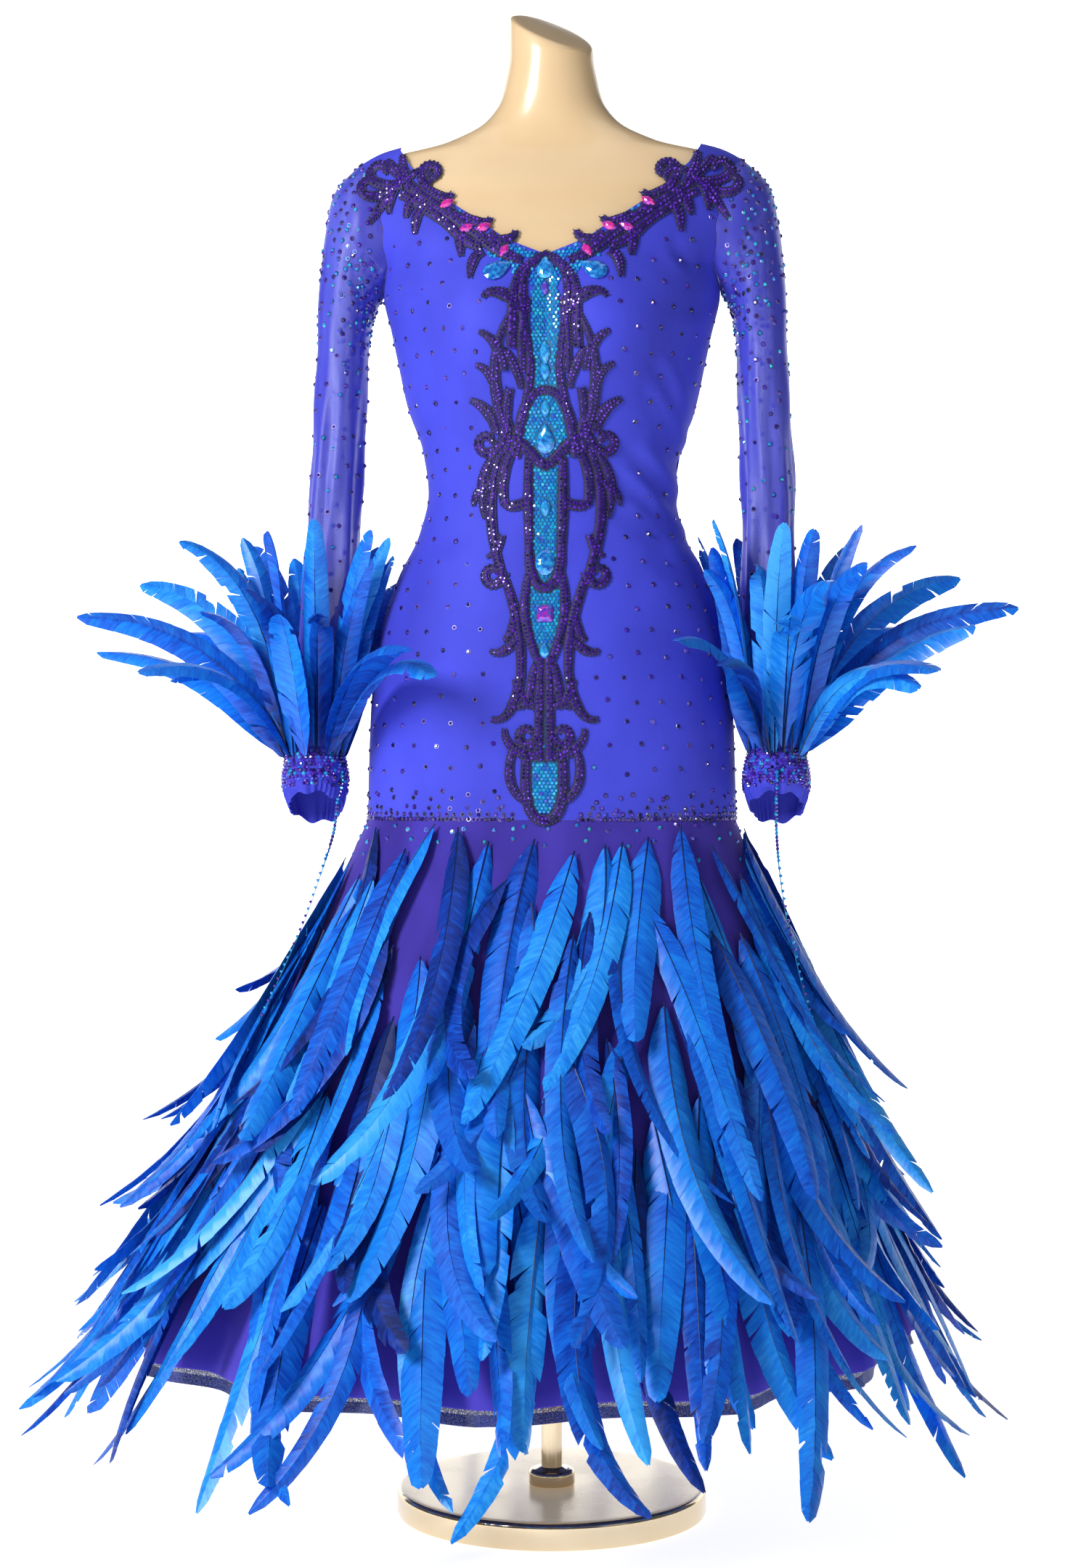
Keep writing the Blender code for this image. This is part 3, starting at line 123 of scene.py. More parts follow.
# Sleeve rings: outer x, outer z, inner x, inner z, half depth, y of the middle
SLEEVE_RINGS = (
    (0.2035, 1.4075, 0.1845, 1.2625, 0.0600, 0.000),
    (0.2250, 1.3850, 0.1890, 1.2500, 0.0555, 0.000),
    (0.2375, 1.3420, 0.1915, 1.2300, 0.0500, -0.002),
    (0.2435, 1.2850, 0.1935, 1.2050, 0.0455, -0.004),
    (0.2470, 1.2000, 0.1955, 1.1550, 0.0415, -0.007),
    (0.2545, 1.0500, 0.2000, 1.0500, 0.0370, -0.014),
    (0.2585, 0.9600, 0.2035, 0.9600, 0.0350, -0.020),
    (0.2635, 0.8800, 0.2090, 0.8800, 0.0325, -0.026),
)
SLEEVE_END = 0.800
WRIST_Y = -0.030
WRIST_X = {"left": 0.234, "right": 0.245}
SIDES = (("left", 1), ("right", -1))
# Cuff rings: height, half width, half depth, rise of the front edge over the middle
CUFF_RINGS = (
    (0.7370, 0.0285, 0.0305, 0.016), (0.7500, 0.0330, 0.0345, 0.010),
    (0.7660, 0.0345, 0.0360, 0.004), (0.7840, 0.0320, 0.0340, 0.001),
    (0.7996, 0.0270, 0.0300, 0.000),
)

# Flutes of the skirt, each a crest and a trough: share of the round, share of the depth
FLUTES = (
    (1.10, 0.9), (0.85, 1.1), (1.05, 0.8), (0.95, 1.2), (1.20, 0.9), (0.80, 1.0),
    (1.05, 1.1), (0.90, 0.8), (1.15, 1.0), (1.00, 1.2), (0.85, 0.9), (1.10, 1.1),
)

# Feather tiers of the skirt: height of the roots, feathers, length, width, lift at the root,
# seed
FEATHER_TIERS = (
    (0.690, 46, 0.300, 0.036, 0.0030, 11),
    (0.612, 54, 0.315, 0.037, 0.0045, 12),
    (0.535, 66, 0.310, 0.037, 0.0050, 13),
    (0.460, 76, 0.295, 0.037, 0.0055, 14),
    (0.378, 84, 0.305, 0.036, 0.0060, 15),
)
# A vane's half width at a share of the feather's length
VANE_PROFILE = (
    (0.00, 0.08), (0.03, 0.38), (0.07, 0.70), (0.14, 0.93), (0.34, 1.00), (0.52, 0.93),
    (0.70, 0.80), (0.84, 0.63), (0.93, 0.45), (0.98, 0.26), (1.00, 0.08),
)
FEATHER_STATIONS = 15     # places along a feather at which its path is worked out
VANE_THICKNESS = 0.00035
QUILL_RADIUS = 0.0011
QUILL_RINGS = 12
BARB_CLUSTERS = 18        # on each side of a feather

# Feathers of a cuff: azimuth in degrees (0 away from the body, 90 forward), height and
# reach of the bend, height and reach of the tip, width
CUFF_FEATHERS = (
    (8, 0.150, 0.060, 0.150, 0.215, 0.030), (-28, 0.170, 0.050, 0.190, 0.190, 0.028),
    (42, 0.120, 0.060, 0.085, 0.185, 0.028), (-62, 0.150, 0.050, 0.120, 0.165, 0.028),
    (76, 0.165, 0.040, 0.165, 0.130, 0.027), (-98, 0.165, 0.040, 0.175, 0.130, 0.027),
    (118, 0.130, 0.075, 0.105, 0.205, 0.030), (-132, 0.170, 0.034, 0.190, 0.092, 0.027),
    (25, 0.190, 0.020, 0.215, 0.115, 0.024), (-10, 0.170, 0.012, 0.235, 0.055, 0.024),
    (60, 0.175, 0.012, 0.225, 0.060, 0.024), (-45, 0.180, 0.016, 0.225, 0.080, 0.024),
    (97, 0.180, 0.012, 0.235, 0.048, 0.024), (-80, 0.180, 0.020, 0.240, 0.070, 0.024),
    (140, 0.180, 0.014, 0.235, 0.058, 0.022), (-115, 0.180, 0.020, 0.230, 0.072, 0.022),
    (162, 0.160, 0.014, 0.225, 0.050, 0.020), (-158, 0.160, 0.014, 0.215, 0.055, 0.020),
)
CUFF_ROOT_HEIGHT = 0.790

# Beaded scrolls of the centre motif, one half, mirrored to the other, in millimetres: start
# x, z and heading in degrees (0 outward, 90 up), end x, z and heading, turn of the coil at
# the end in degrees, and the widths at the start, the middle and the end
CENTRE_SCROLLS = (
    (-1.5, 1297, -15, 15, 1186, -96, 0, (5, 8, 6)),
    (6, 1289, -10, 34, 1200, -84, 0, (6, 8.5, 8)),
    (24, 1236, 80, 62, 1250, -75, 0, (8, 11, 4)),
    (36, 1232, -62, 38, 1112, -112, 0, (4, 9, 8)),
    (42, 1178, 88, 66, 1216, 20, 0, (7, 9, 3.5)),
    (47, 1146, 88, 70, 1184, 15, 0, (7, 9, 3.5)),
    (15, 1190, -92, 27, 1112, -80, 0, (7, 7, 6)),
    (-2, 1158.5, 4, 31, 1092, -78, 0, (6, 9, 9)),
    (34, 1111, -160, -2, 1082.4, -160, 0, (9, 10, 8)),
    (36, 1160, -75, 60, 1097, 0, 300, (7, 9, 6)),
    (40, 1096, 100, 44, 1144, 60, 0, (6, 9, 2)),
    (28, 1106, -50, 42, 1044, -100, 0, (7, 9, 7)),
    (42, 1047, -100, 17, 1052, 95, 0, (7, 9, 6)),
    (45, 1100, -70, 40, 962, -110, 0, (6, 9, 7)),
    (17, 1090, -88, 16, 996, -92, 0, (7, 9, 7)),
    (52, 1096, -50, 63, 1030, -100, 0, (5, 9, 2.5)),
    (16, 1000, -88, -2.3, 958.2, 176, 0, (7, 9, 9)),
    (40, 966, -110, 24, 868, -88, 0, (7, 9, 7)),
    (40, 974, -60, 54, 962, 10, 270, (7, 8, 5)),
    (29, 906, -60, 55, 896, 55, 0, (7, 8, 3.5)),
    (16, 972, -75, 6, 884, -115, 0, (7, 8, 7)),
    (24, 872, -85, 54, 826, 20, 0, (7, 9, 4)),
    (4.5, 890, -90, 5, 784, -92, 0, (7, 7.5, 7.5)),
    (8, 880, -60, 27, 838, 0, 0, (7, 8, 4)),
    (6, 812, -70, 20, 800, 20, 250, (7, 8, 5)),
    (6, 790, -15, 40, 816, 100, 0, (8, 9, 4)),
    (18, 792, -88, -2.3, 724.2, 176, 0, (8, 9, 9)),
    (31, 796, -65, 18, 744, -165, 0, (6, 8, 6)),
    (50, 1116, 86, 76, 1150, 20, 0, (8, 10, 4)), (41, 1194, 82, 25, 1160, -86, 0, (5, 8, 5)),
    (18, 1250, -80, 23, 1176, -92, 0, (6, 8, 6)),
    (56, 1070, -60, 74, 1044, -100, 0, (5, 9, 2.5)), (44, 1012, -70, 60, 992, 20, 0, (6, 8, 2.5)),
    (30, 930, -80, 42, 905, -30, 0, (7, 8, 4)), (10, 842, -60, 30, 866, 80, 0, (6, 8, 4)),
)
# How far the centre motif reaches from the middle: height, distance
MOTIF_REACH = (
    (0.72, 0.024), (0.80, 0.046), (0.83, 0.058), (0.87, 0.034), (0.90, 0.060), (0.95, 0.060),
    (0.97, 0.048), (1.02, 0.066), (1.09, 0.068), (1.14, 0.052), (1.17, 0.064), (1.21, 0.062),
    (1.25, 0.054), (1.30, 0.060), (1.32, 0.09),
)
# Stone-covered ground between the scrolls: height, half width
CENTRE_GROUND = (
    (0.7335, 0.006), (0.742, 0.013), (0.765, 0.016), (0.785, 0.014), (0.800, 0.006),
    (0.880, 0.006), (0.915, 0.013), (0.955, 0.017), (0.985, 0.0145), (1.015, 0.014),
    (1.045, 0.0145), (1.084, 0.015), (1.102, 0.027), (1.116, 0.027), (1.134, 0.023),
    (1.160, 0.016), (1.185, 0.0145), (1.208, 0.014), (1.230, 0.0135), (1.258, 0.0125),
    (1.272, 0.010), (1.286, 0.006),
)
# Scrolls along the neckline on the wearer's left, in the same columns, mirrored to the right
NECK_SCROLLS = (
    (24, 1290, 15, 66, 1316, 45, 0, (6, 10, 10)),
    (64, 1314, 45, 118, 1356, 36, 0, (9, 11, 10)),
    (114, 1353, 36, 152, 1388, 55, 0, (9, 10, 9)),
    (48, 1304, 30, 54, 1322, 110, 0, (7, 8, 4)),
    (82, 1328, -50, 86, 1296, -95, 0, (8, 10, 4)),
    (90, 1336, 30, 98, 1354, 110, 0, (7, 8, 4)),
    (132, 1368, -40, 146, 1342, -80, 0, (7, 10, 4)),
    (148, 1384, -35, 192, 1372, 45, 200, (8, 9, 6)),
    (152, 1384, -45, 184, 1340, -55, 0, (8, 9, 4)),
    (150, 1386, 40, 168, 1408, 60, 0, (8, 9, 5)),
    (146, 1384, 110, 132, 1392, 160, 230, (7, 7, 4)),
    (31, 1321, -95, 58, 1314, 30, 0, (5, 9, 8)), (57, 1336, -80, 86, 1340, 30, 0, (5, 8, 7)),
    (97, 1365, -60, 126, 1372, 25, 0, (5, 8, 7)), (122, 1370, 40, 126, 1398, 150, 250, (8, 8, 5)),
    (150, 1378, 0, 186, 1394, 85, 230, (8, 9, 7)), (126, 1352, -20, 136, 1324, -85, 0, (8, 9, 4)),
    (66, 1306, 10, 112, 1340, 30, 0, (8, 10, 8)), (64, 1300, -20, 76, 1272, -88, 0, (8, 9, 4)),
    (110, 1340, 30, 152, 1368, 20, 0, (9, 10, 8)), (140, 1372, 70, 152, 1412, 95, 0, (7, 8, 5)),
    (158, 1374, -60, 164, 1348, -95, 0, (7, 8, 4)),
)
# Large cut stones: outline, x, height, half length, half width, tilt in degrees, colour share;
# those off the middle line are mirrored
LARGE_STONES = (
    ("pear", 0.0, 1.282, 0.0120, 0.0095, 0, 0.16),
    ("navette", 0.0, 1.196, 0.0115, 0.0055, 0, 0.30),
    ("navette", 0.0, 1.178, 0.0100, 0.0050, 0, 0.18),
    ("navette", 0.0, 1.140, 0.0085, 0.0045, 0, 0.30),
    ("pear", 0.0, 1.110, 0.0150, 0.0090, 0, 0.16),
    ("navette", 0.0, 1.040, 0.0090, 0.0050, 0, 0.24),
    ("oval", 0.0, 0.984, 0.0135, 0.0100, 0, 0.12),
    ("square", 0.0, 0.932, 0.0085, 0.0085, 0, 0.72),
    ("pear", 0.0, 0.895, 0.0080, 0.0050, 0, 0.25),
    ("pear", 0.048, 1.280, 0.0155, 0.0100, 60, 0.10),
    ("navette", 0.042, 1.300, 0.0080, 0.0048, 30, 0.96),
    ("navette", 0.064, 1.326, 0.0085, 0.0050, 62, 0.98),
    ("navette", 0.081, 1.326, 0.0085, 0.0050, 70, 0.94),
    ("navette", 0.103, 1.354, 0.0085, 0.0050, 55, 0.97),
    ("navette", 0.0, 1.261, 0.0075, 0.0045, 0, 0.62),
)
# Colours at shares of a stone's tint
STONE_COLOURS = (
    (0.00, (0.010, 0.006, 0.060)), (0.20, (0.020, 0.010, 0.160)), (0.40, (0.075, 0.016, 0.380)),
    (0.60, (0.110, 0.040, 0.620)), (0.74, (0.030, 0.140, 0.720)), (0.86, (0.008, 0.300, 0.720)),
    (1.00, (0.030, 0.560, 0.820)),
)
LARGE_STONE_COLOURS = (
    (0.00, (0.010, 0.120, 0.520)), (0.15, (0.020, 0.260, 0.780)), (0.35, (0.040, 0.480, 0.860)),
    (0.60, (0.060, 0.060, 0.520)), (0.75, (0.180, 0.040, 0.620)), (0.90, (0.620, 0.020, 0.420)),
    (1.00, (0.820, 0.040, 0.380)),
)
COIL_RADIUS = 0.0105      # where a coil starts, shrinking to COIL_SHRINK of it
COIL_SHRINK = 0.38
BAND_RISE = 0.0024        # a beaded band's height in its middle
BAND_FULLNESS = 1.20
BEAD_STEP = 0.0039
CORD_STEP = 0.0032
GROUND_STEP = 0.0042
STONE_TILT = 0.11         # how far stones lean out of line
MOTIF_LIFT = 0.0003       # from the jersey to the motif's underside
# Stone strings that hang from the cuffs, in millimetres: x, y, height, and the direction that
# the stones face in degrees (0 forward, 90 to the wearer's left)
WRIST_STRINGS = {
    "left": (
        (234.0, -66.4, 777, 0), (234.0, -67.0, 770, 0), (233.8, -65.6, 760, 0),
        (233.5, -61.8, 752, 0), (233.0, -60.0, 738, 0), (233.5, -57.0, 716, 10),
        (235.0, -53.0, 690, 25), (238.0, -50.0, 662, 45), (243.0, -56.0, 628, 60),
        (249.5, -70.0, 598, 68), (256.0, -82.5, 568, 70), (264.0, -92.0, 538, 70),
    ),
    "right": (
        (-215.9, -47.9, 777, 51), (-214.9, -48.4, 768, 51), (-216.0, -47.7, 755, 51),
        (-219.8, -45.8, 745, 45), (-221.0, -45.6, 730, 30), (-223.5, -47.0, 712, 10),
        (-229.5, -49.5, 690, -20), (-236.5, -54.0, 666, -50), (-244.0, -63.0, 640, -68),
        (-254.5, -77.5, 608, -70), (-267.5, -88.5, 576, -72), (-281.0, -97.0, 544, -72),
    ),
}
STRING_STONE_RADIUS = 0.0020
STRING_STRIP_SHARE = 0.34  # of a string's length, from the cuff, where it is a wider strip
STRING_TIPS = {"left": (272.0, -99.5, 508), "right": (-295.0, -103.5, 512)}


def table_column(table, column):
    """The first column of a table and another one, as arrays."""
    rows = np.array([(row[0], row[column]) for row in table], dtype=float)
    return rows[:, 0], rows[:, 1]


def curve(table, column, at):
    """A column of a table at values of its first, on a smooth curve without overshoot."""
    stops, values = table_column(table, column)
    at = np.clip(at, stops[0], stops[-1])
    i = np.clip(np.searchsorted(stops, at, side="right") - 1, 0, len(stops) - 2)
    spans = np.diff(stops)
    steps = np.diff(values) / spans
    slopes = np.concatenate([steps[:1], np.zeros(len(steps) - 1), steps[-1:]])
    same_way = steps[:-1] * steps[1:] > 0
    sums = np.where(same_way, steps[:-1] + steps[1:], 1.0)
    slopes[1:-1] = np.where(same_way, 2 * steps[:-1] * steps[1:] / sums, 0.0)
    span = spans[i]
    t = (at - stops[i]) / span
    return between(values[i], values[i + 1], span * slopes[i], span * slopes[i + 1], t)


def between(first, last, leave, arrive, t):
    """Values on a smooth curve between two, with its slopes at both, at shares of the way."""
    return (
        first * (1 + 2 * t) * (1 - t) ** 2 + last * t * t * (3 - 2 * t)
        + leave * t * (1 - t) ** 2 - arrive * t * t * (1 - t))


def lengths_along(path):
    """How far each point of a path lies from its start along the path."""
    return np.concatenate([[0], np.cumsum(np.linalg.norm(np.diff(path, axis=0), axis=1))])


def line(table, at):
    """The second column of a table at values of its first, by straight lines."""
    return np.interp(at, *table_column(table, 1))


def blend(at, start, end):
    """0 before the start, 1 after the end, with a smooth change between them."""
    t = np.clip((at - start) / (end - start), 0.0, 1.0)
    return t * t * (3 - 2 * t)


def unit(vectors):
    """Vectors of length one."""
    return vectors / np.maximum(np.linalg.norm(vectors, axis=-1, keepdims=True), 1e-12)


def roundness(height):
    """Exponent of the form's cross-section at a height."""
    return BODY_ROUNDNESS + (NECK_ROUNDNESS - BODY_ROUNDNESS) * blend(height, 1.43, 1.48)


def body_surface(height, turn):
    """Points and outward normals of the dress form."""
    height, turn = np.broadcast_arrays(np.asarray(height, float), np.asarray(turn, float))
    n = roundness(height)
    front = np.cos(turn) >= 0
    step = 0.0005

    def depth_at(z):
        return np.where(front, curve(BODY, 2, z), curve(BODY, 3, z))

    width = curve(BODY, 1, height)
    depth = depth_at(height)
    width_rate = (curve(BODY, 1, height + step) - curve(BODY, 1, height - step)) / (2 * step)
    depth_rate = (depth_at(height + step) - depth_at(height - step)) / (2 * step)
    across = np.abs(np.sin(turn)) ** (2 / n)
    out = np.abs(np.cos(turn)) ** (2 / n)
    x = width * across
    bust_x = (x - BUST_X) / BUST_SPREAD
    bust_z = (height - BUST_Z) / BUST_SPREAD
    mound = BUST_HEIGHT * np.exp(-0.5 * (bust_x ** 2 + bust_z ** 2)) * front
    grow_x = across ** (n - 1) / width
    grow_y = out ** (n - 1) / depth
    grow_z = -across ** n * width_rate / width - out ** n * depth_rate / depth
    grow_x = grow_x + grow_y * mound * bust_x / BUST_SPREAD
    grow_z = grow_z + grow_y * mound * bust_z / BUST_SPREAD
    facing = np.where(front, -1.0, 1.0)
    side = np.where(np.sin(turn) >= 0, 1.0, -1.0)
    y = facing * (depth * out + mound * np.minimum(out / 0.3, 1.0))
    normals = unit(np.stack([side * grow_x, facing * grow_y, grow_z], -1))
    return np.stack([side * x, y, height], -1), normals


def angle_at(height, x):
    """Angle from the middle at which the form's section reaches a distance from the middle."""
    share = np.clip(x / curve(BODY, 1, height), 0.0, 1.0)
    return np.arcsin(share ** (roundness(height) / 2))


def ease_at(height):
    """Room between the form and the bodice, more over the shoulder."""
    return EASE + SHOULDER_EASE * blend(height, 1.385, 1.408)


def armhole_angle(height):
    """Angle from the middle at which the bodice ends at a height."""
    stops = np.array([UNDERARM] + [row[0] for row in ARMHOLE] + [1.4101])
    angles = [math.pi / 2] + [float(angle_at(z, x)) for z, x in ARMHOLE[:-1]]
    angles += [math.pi / 2, math.pi / 2]
    return np.interp(height, stops, angles)


def joined(found):
    """Rows of arrays put together, column by column."""
    return tuple(np.concatenate(part) for part in zip(*found))


def grid_faces(rows, columns, closed=False):
    """Quads of a grid of points that is stored row by row, closed round or open."""
    across = columns if closed else columns - 1
    r, c = np.meshgrid(np.arange(rows - 1), np.arange(across), indexing="ij")
    here = r * columns + c
    beside = r * columns + (c + 1) % columns
    return np.stack([here, beside, beside + columns, here + columns], -1).reshape(-1, 4)


def plain_mesh(name, points, faces, finish, smooth=None):
    """A mesh object at the origin, smooth up to an angle in degrees."""
    mesh = bpy.data.meshes.new(name)
    faces = faces if isinstance(faces, list) else faces.tolist()
    mesh.from_pydata(np.asarray(points).reshape(-1, 3).tolist(), [], faces)
    if finish is not None:
        mesh.materials.append(finish)
    if smooth is not None:
        mesh.shade_smooth()
        mesh.set_sharp_from_angle(angle=math.radians(smooth))
    item = bpy.data.objects.new(name, mesh)
    bpy.context.scene.collection.objects.link(item)
    return item


def carry(item, label, kind, values):
    """Give each point of a mesh a value or a vector."""
    layer = item.data.attributes.new(label, kind, "POINT")
    field = "vector" if kind == "FLOAT_VECTOR" else "value"
    layer.data.foreach_set(field, np.asarray(values, dtype=np.float32).reshape(-1))


def tidy_mesh(item, merge=0.00002, outward=False):
    """Merge doubles of a piece, drop faces without area, and turn its faces out if asked."""
    shape = bmesh.new()
    shape.from_mesh(item.data)
    bmesh.ops.remove_doubles(shape, verts=shape.verts, dist=merge)
    bmesh.ops.dissolve_degenerate(shape, edges=shape.edges, dist=0.000001)
    if outward:
        bmesh.ops.recalc_face_normals(shape, faces=shape.faces)
    shape.to_mesh(item.data)
    shape.free()


def bake_modifiers(item):
    """Make what the modifiers give the plain mesh of the piece, and remove them."""
    graph = bpy.context.evaluated_depsgraph_get()
    mesh = bpy.data.meshes.new_from_object(item.evaluated_get(graph))
    item.modifiers.clear()
    item.data = mesh
    mesh.name = item.name


def give_wall(item, thickness):
    """Give a sheet its wall, inward from the face that shows."""
    wall = item.modifiers.new("wall", "SOLIDIFY")
    wall.thickness = thickness
    wall.offset = -1.0
    wall.use_even_offset = False
    bake_modifiers(item)


def add(tree, kind, inputs=None, **settings):
    """A node of a kind in a tree, with its settings and its sockets set or linked."""
    item = tree.nodes.new(kind)
    for name, value in settings.items():
        setattr(item, name, value)
    for name, value in (inputs or {}).items():
        socket = item.inputs[name]
        if isinstance(value, bpy.types.NodeSocket):
            tree.links.new(value, socket)
        else:
            socket.default_value = value
    return item


def new_finish(name, values):
    """A material with its shader's own sockets set, its tree and its shader."""
    material = bpy.data.materials.new(name)
    material.use_nodes = True
    tree = material.node_tree
    shader = tree.nodes["Principled BSDF"]
    for socket, value in values.items():
        shader.inputs[socket].default_value = value
    return material, tree, shader


def colour_ramp(tree, share, stops):
    """Colours at shares of a value, in a row."""
    ramp = add(tree, "ShaderNodeValToRGB", {"Fac": share})
    first, *others = stops
    elements = ramp.color_ramp.elements
    elements[1].position = others[-1][0]
    elements[1].color = (*others[-1][1], 1.0)
    elements[0].position = first[0]
    elements[0].color = (*first[1], 1.0)
    for place, colour in others[:-1]:
        elements.new(place).color = (*colour, 1.0)
    return ramp.outputs["Color"]


def set_colour(tree, shader, share, stops):
    """Colour a finish by shares of a value."""
    tree.links.new(colour_ramp(tree, share, stops), shader.inputs["Base Color"])


def ramp_value(tree, share, low, high, low_out, high_out):
    """A value carried from one range to another, held at its ends."""
    return add(tree, "ShaderNodeMapRange", {
        "Value": share, "From Min": low, "From Max": high, "To Min": low_out, "To Max": high_out,
    }).outputs["Result"]


def added(tree, first, second):
    """The sum of two values."""
    return add(tree, "ShaderNodeMath", {0: first, 1: second}, operation="ADD").outputs[0]


def stretched_noise(tree, vector, scale, stretch, detail=2.0):
    """Noise on coordinates that are first stretched along each axis."""
    mapping = add(tree, "ShaderNodeMapping", {"Vector": vector, "Scale": stretch})
    noise = add(tree, "ShaderNodeTexNoise", {
        "Vector": mapping.outputs["Vector"], "Scale": scale, "Detail": detail,
    })
    return noise.outputs["Fac"]


def relief(tree, shader, height, depth, distance=0.001, under=None):
    """Bump from a height, on top of another bump if there is one."""
    inputs = {"Height": height, "Strength": depth, "Distance": distance}
    if under is not None:
        inputs["Normal"] = under
    bump = add(tree, "ShaderNodeBump", inputs).outputs["Normal"]
    tree.links.new(bump, shader.inputs["Normal"])
    return bump


def object_coordinates(tree):
    """Places in the piece's own metres."""
    return add(tree, "ShaderNodeTexCoord").outputs["Object"]


def attribute(tree, name, output="Fac"):
    """A value that the mesh's points carry."""
    return add(tree, "ShaderNodeAttribute", attribute_name=name).outputs[output]


def plain_finish(name, values, cloud, stops, *reliefs):
    """A finish whose colour follows one noise, with bumps from others.

    The cloud is a noise's scale, stretch and detail, and each relief is the same with the
    bump's strength and distance, or those two alone to raise the cloud itself.
    """
    material, tree, shader = new_finish(name, values)
    place = object_coordinates(tree)
    share = stretched_noise(tree, place, *cloud)
    set_colour(tree, shader, share, stops)
    under = None
    for *noise, strength, distance in reliefs:
        height = stretched_noise(tree, place, *noise) if noise else share
        under = relief(tree, shader, height, strength, distance, under)
    return material


def jersey_finish():
    """Royal blue crepe jersey: fine grain, soft bloom at the edges, slight changes of dye."""
    return plain_finish("royal crepe jersey", {
        "Roughness": 0.72, "Sheen Weight": 0.15, "Sheen Roughness": 0.35,
        "Sheen Tint": (0.45, 0.48, 1.0, 1.0), "Specular IOR Level": 0.30,
    }, (9.0, (1, 1, 0.6), 3.0), (
        (0.30, (0.036, 0.042, 0.480)), (0.52, (0.047, 0.056, 0.600)), (0.75, (0.060, 0.073, 0.690)),
    ), (1150.0, (1, 1, 0.45), 2.0, 0.35, 0.0004), (420.0, (1, 1, 1), 2.0, 0.16, 0.0006))


def sleeve_finish():
    """Sheer blue stretch mesh: it lets the form show, closes towards its edges, and carries painted
    sheen in long vertical streaks.
    """
    material, tree, shader = new_finish("sheer stretch mesh", {
        "Roughness": 0.42, "Sheen Weight": 0.55, "Sheen Roughness": 0.3,
        "Sheen Tint": (0.5, 0.55, 1.0, 1.0), "Specular IOR Level": 0.45,
    })
    place = object_coordinates(tree)
    # Painted sheen: long vertical streaks that lighten the colour like fold highlights, and also thin
    # the mesh there
    painted_sheen_streaks = stretched_noise(tree, place, 55.0, (1, 1, 0.05), 3.0)
    set_colour(tree, shader, painted_sheen_streaks, (
        (0.32, (0.040, 0.044, 0.480)), (0.50, (0.065, 0.072, 0.620)), (0.70, (0.120, 0.140, 0.760)),
    ))
    facing = add(tree, "ShaderNodeLayerWeight", {"Blend": 0.35}).outputs["Facing"]
    cover = ramp_value(tree, facing, 0.0, 0.7, 0.62, 0.95)
    threads = stretched_noise(tree, place, 900.0, (1, 1, 0.35), 1.0)
    cover = added(tree, cover, ramp_value(tree, painted_sheen_streaks, 0.38, 0.66, 0.10, -0.16))
    tree.links.new(cover, shader.inputs["Alpha"])
    relief(tree, shader, threads, 0.30, 0.0004)
    return material


def georgette_finish():
    """Violet georgette: a dry crepe surface, a little darker towards the seam, with painted fold
    shade in soft vertical streaks.
    """
    material, tree, shader = new_finish("violet georgette", {
        "Roughness": 0.82, "Sheen Weight": 0.35, "Sheen Roughness": 0.4,
        "Sheen Tint": (0.55, 0.4, 1.0, 1.0), "Specular IOR Level": 0.2,
    })
    place = object_coordinates(tree)
    height = add(tree, "ShaderNodeSeparateXYZ", {"Vector": place}).outputs["Z"]
    painted_fold_shade = stretched_noise(tree, place, 16.0, (1, 1, 0.15), 2.0)
    # Painted shade: soft vertical streaks, lighter and darker, stand in for the shade of folds
    share = added(tree, ramp_value(tree, height, 0.20, 0.75, 0.62, 0.22),
                  ramp_value(tree, painted_fold_shade, 0.3, 0.7, -0.2, 0.2))
    set_colour(tree, shader, share, (
        (0.0, (0.028, 0.014, 0.200)), (0.5, (0.062, 0.042, 0.430)), (1.0, (0.095, 0.078, 0.580)),
    ))
    grain = stretched_noise(tree, place, 1300.0, (1, 1, 0.5), 2.0)
    relief(tree, shader, grain, 0.35, 0.0004)
    return material


def net_finish():
    """Stiff dark net: a crossing of fine threads with holes between them."""
    material, tree, shader = new_finish("dark net", {
        "Roughness": 0.6, "Sheen Weight": 0.3, "Sheen Tint": (0.5, 0.6, 1.0, 1.0),
    })
    place = object_coordinates(tree)
    threads = stretched_noise(tree, place, 800.0, (1, 1, 1), 1.0)
    set_colour(tree, shader, threads, (
        (0.35, (0.008, 0.012, 0.070)), (0.65, (0.050, 0.085, 0.330)),
    ))
    cover = ramp_value(tree, threads, 0.40, 0.60, 0.35, 0.85)
    tree.links.new(cover, shader.inputs["Alpha"])
    return material


def braid_finish():
    """Stiff crin braid along the net's edge, with a fine slanted weave."""
    return plain_finish("crin braid", {
        "Roughness": 0.4, "Sheen Weight": 0.3, "Sheen Tint": (0.5, 0.6, 1.0, 1.0), "Alpha": 0.60,
    }, (700.0, (1, 1, 1), 1.0), (
        (0.35, (0.010, 0.014, 0.120)), (0.65, (0.045, 0.075, 0.420)),
    ), (0.4, 0.0005))


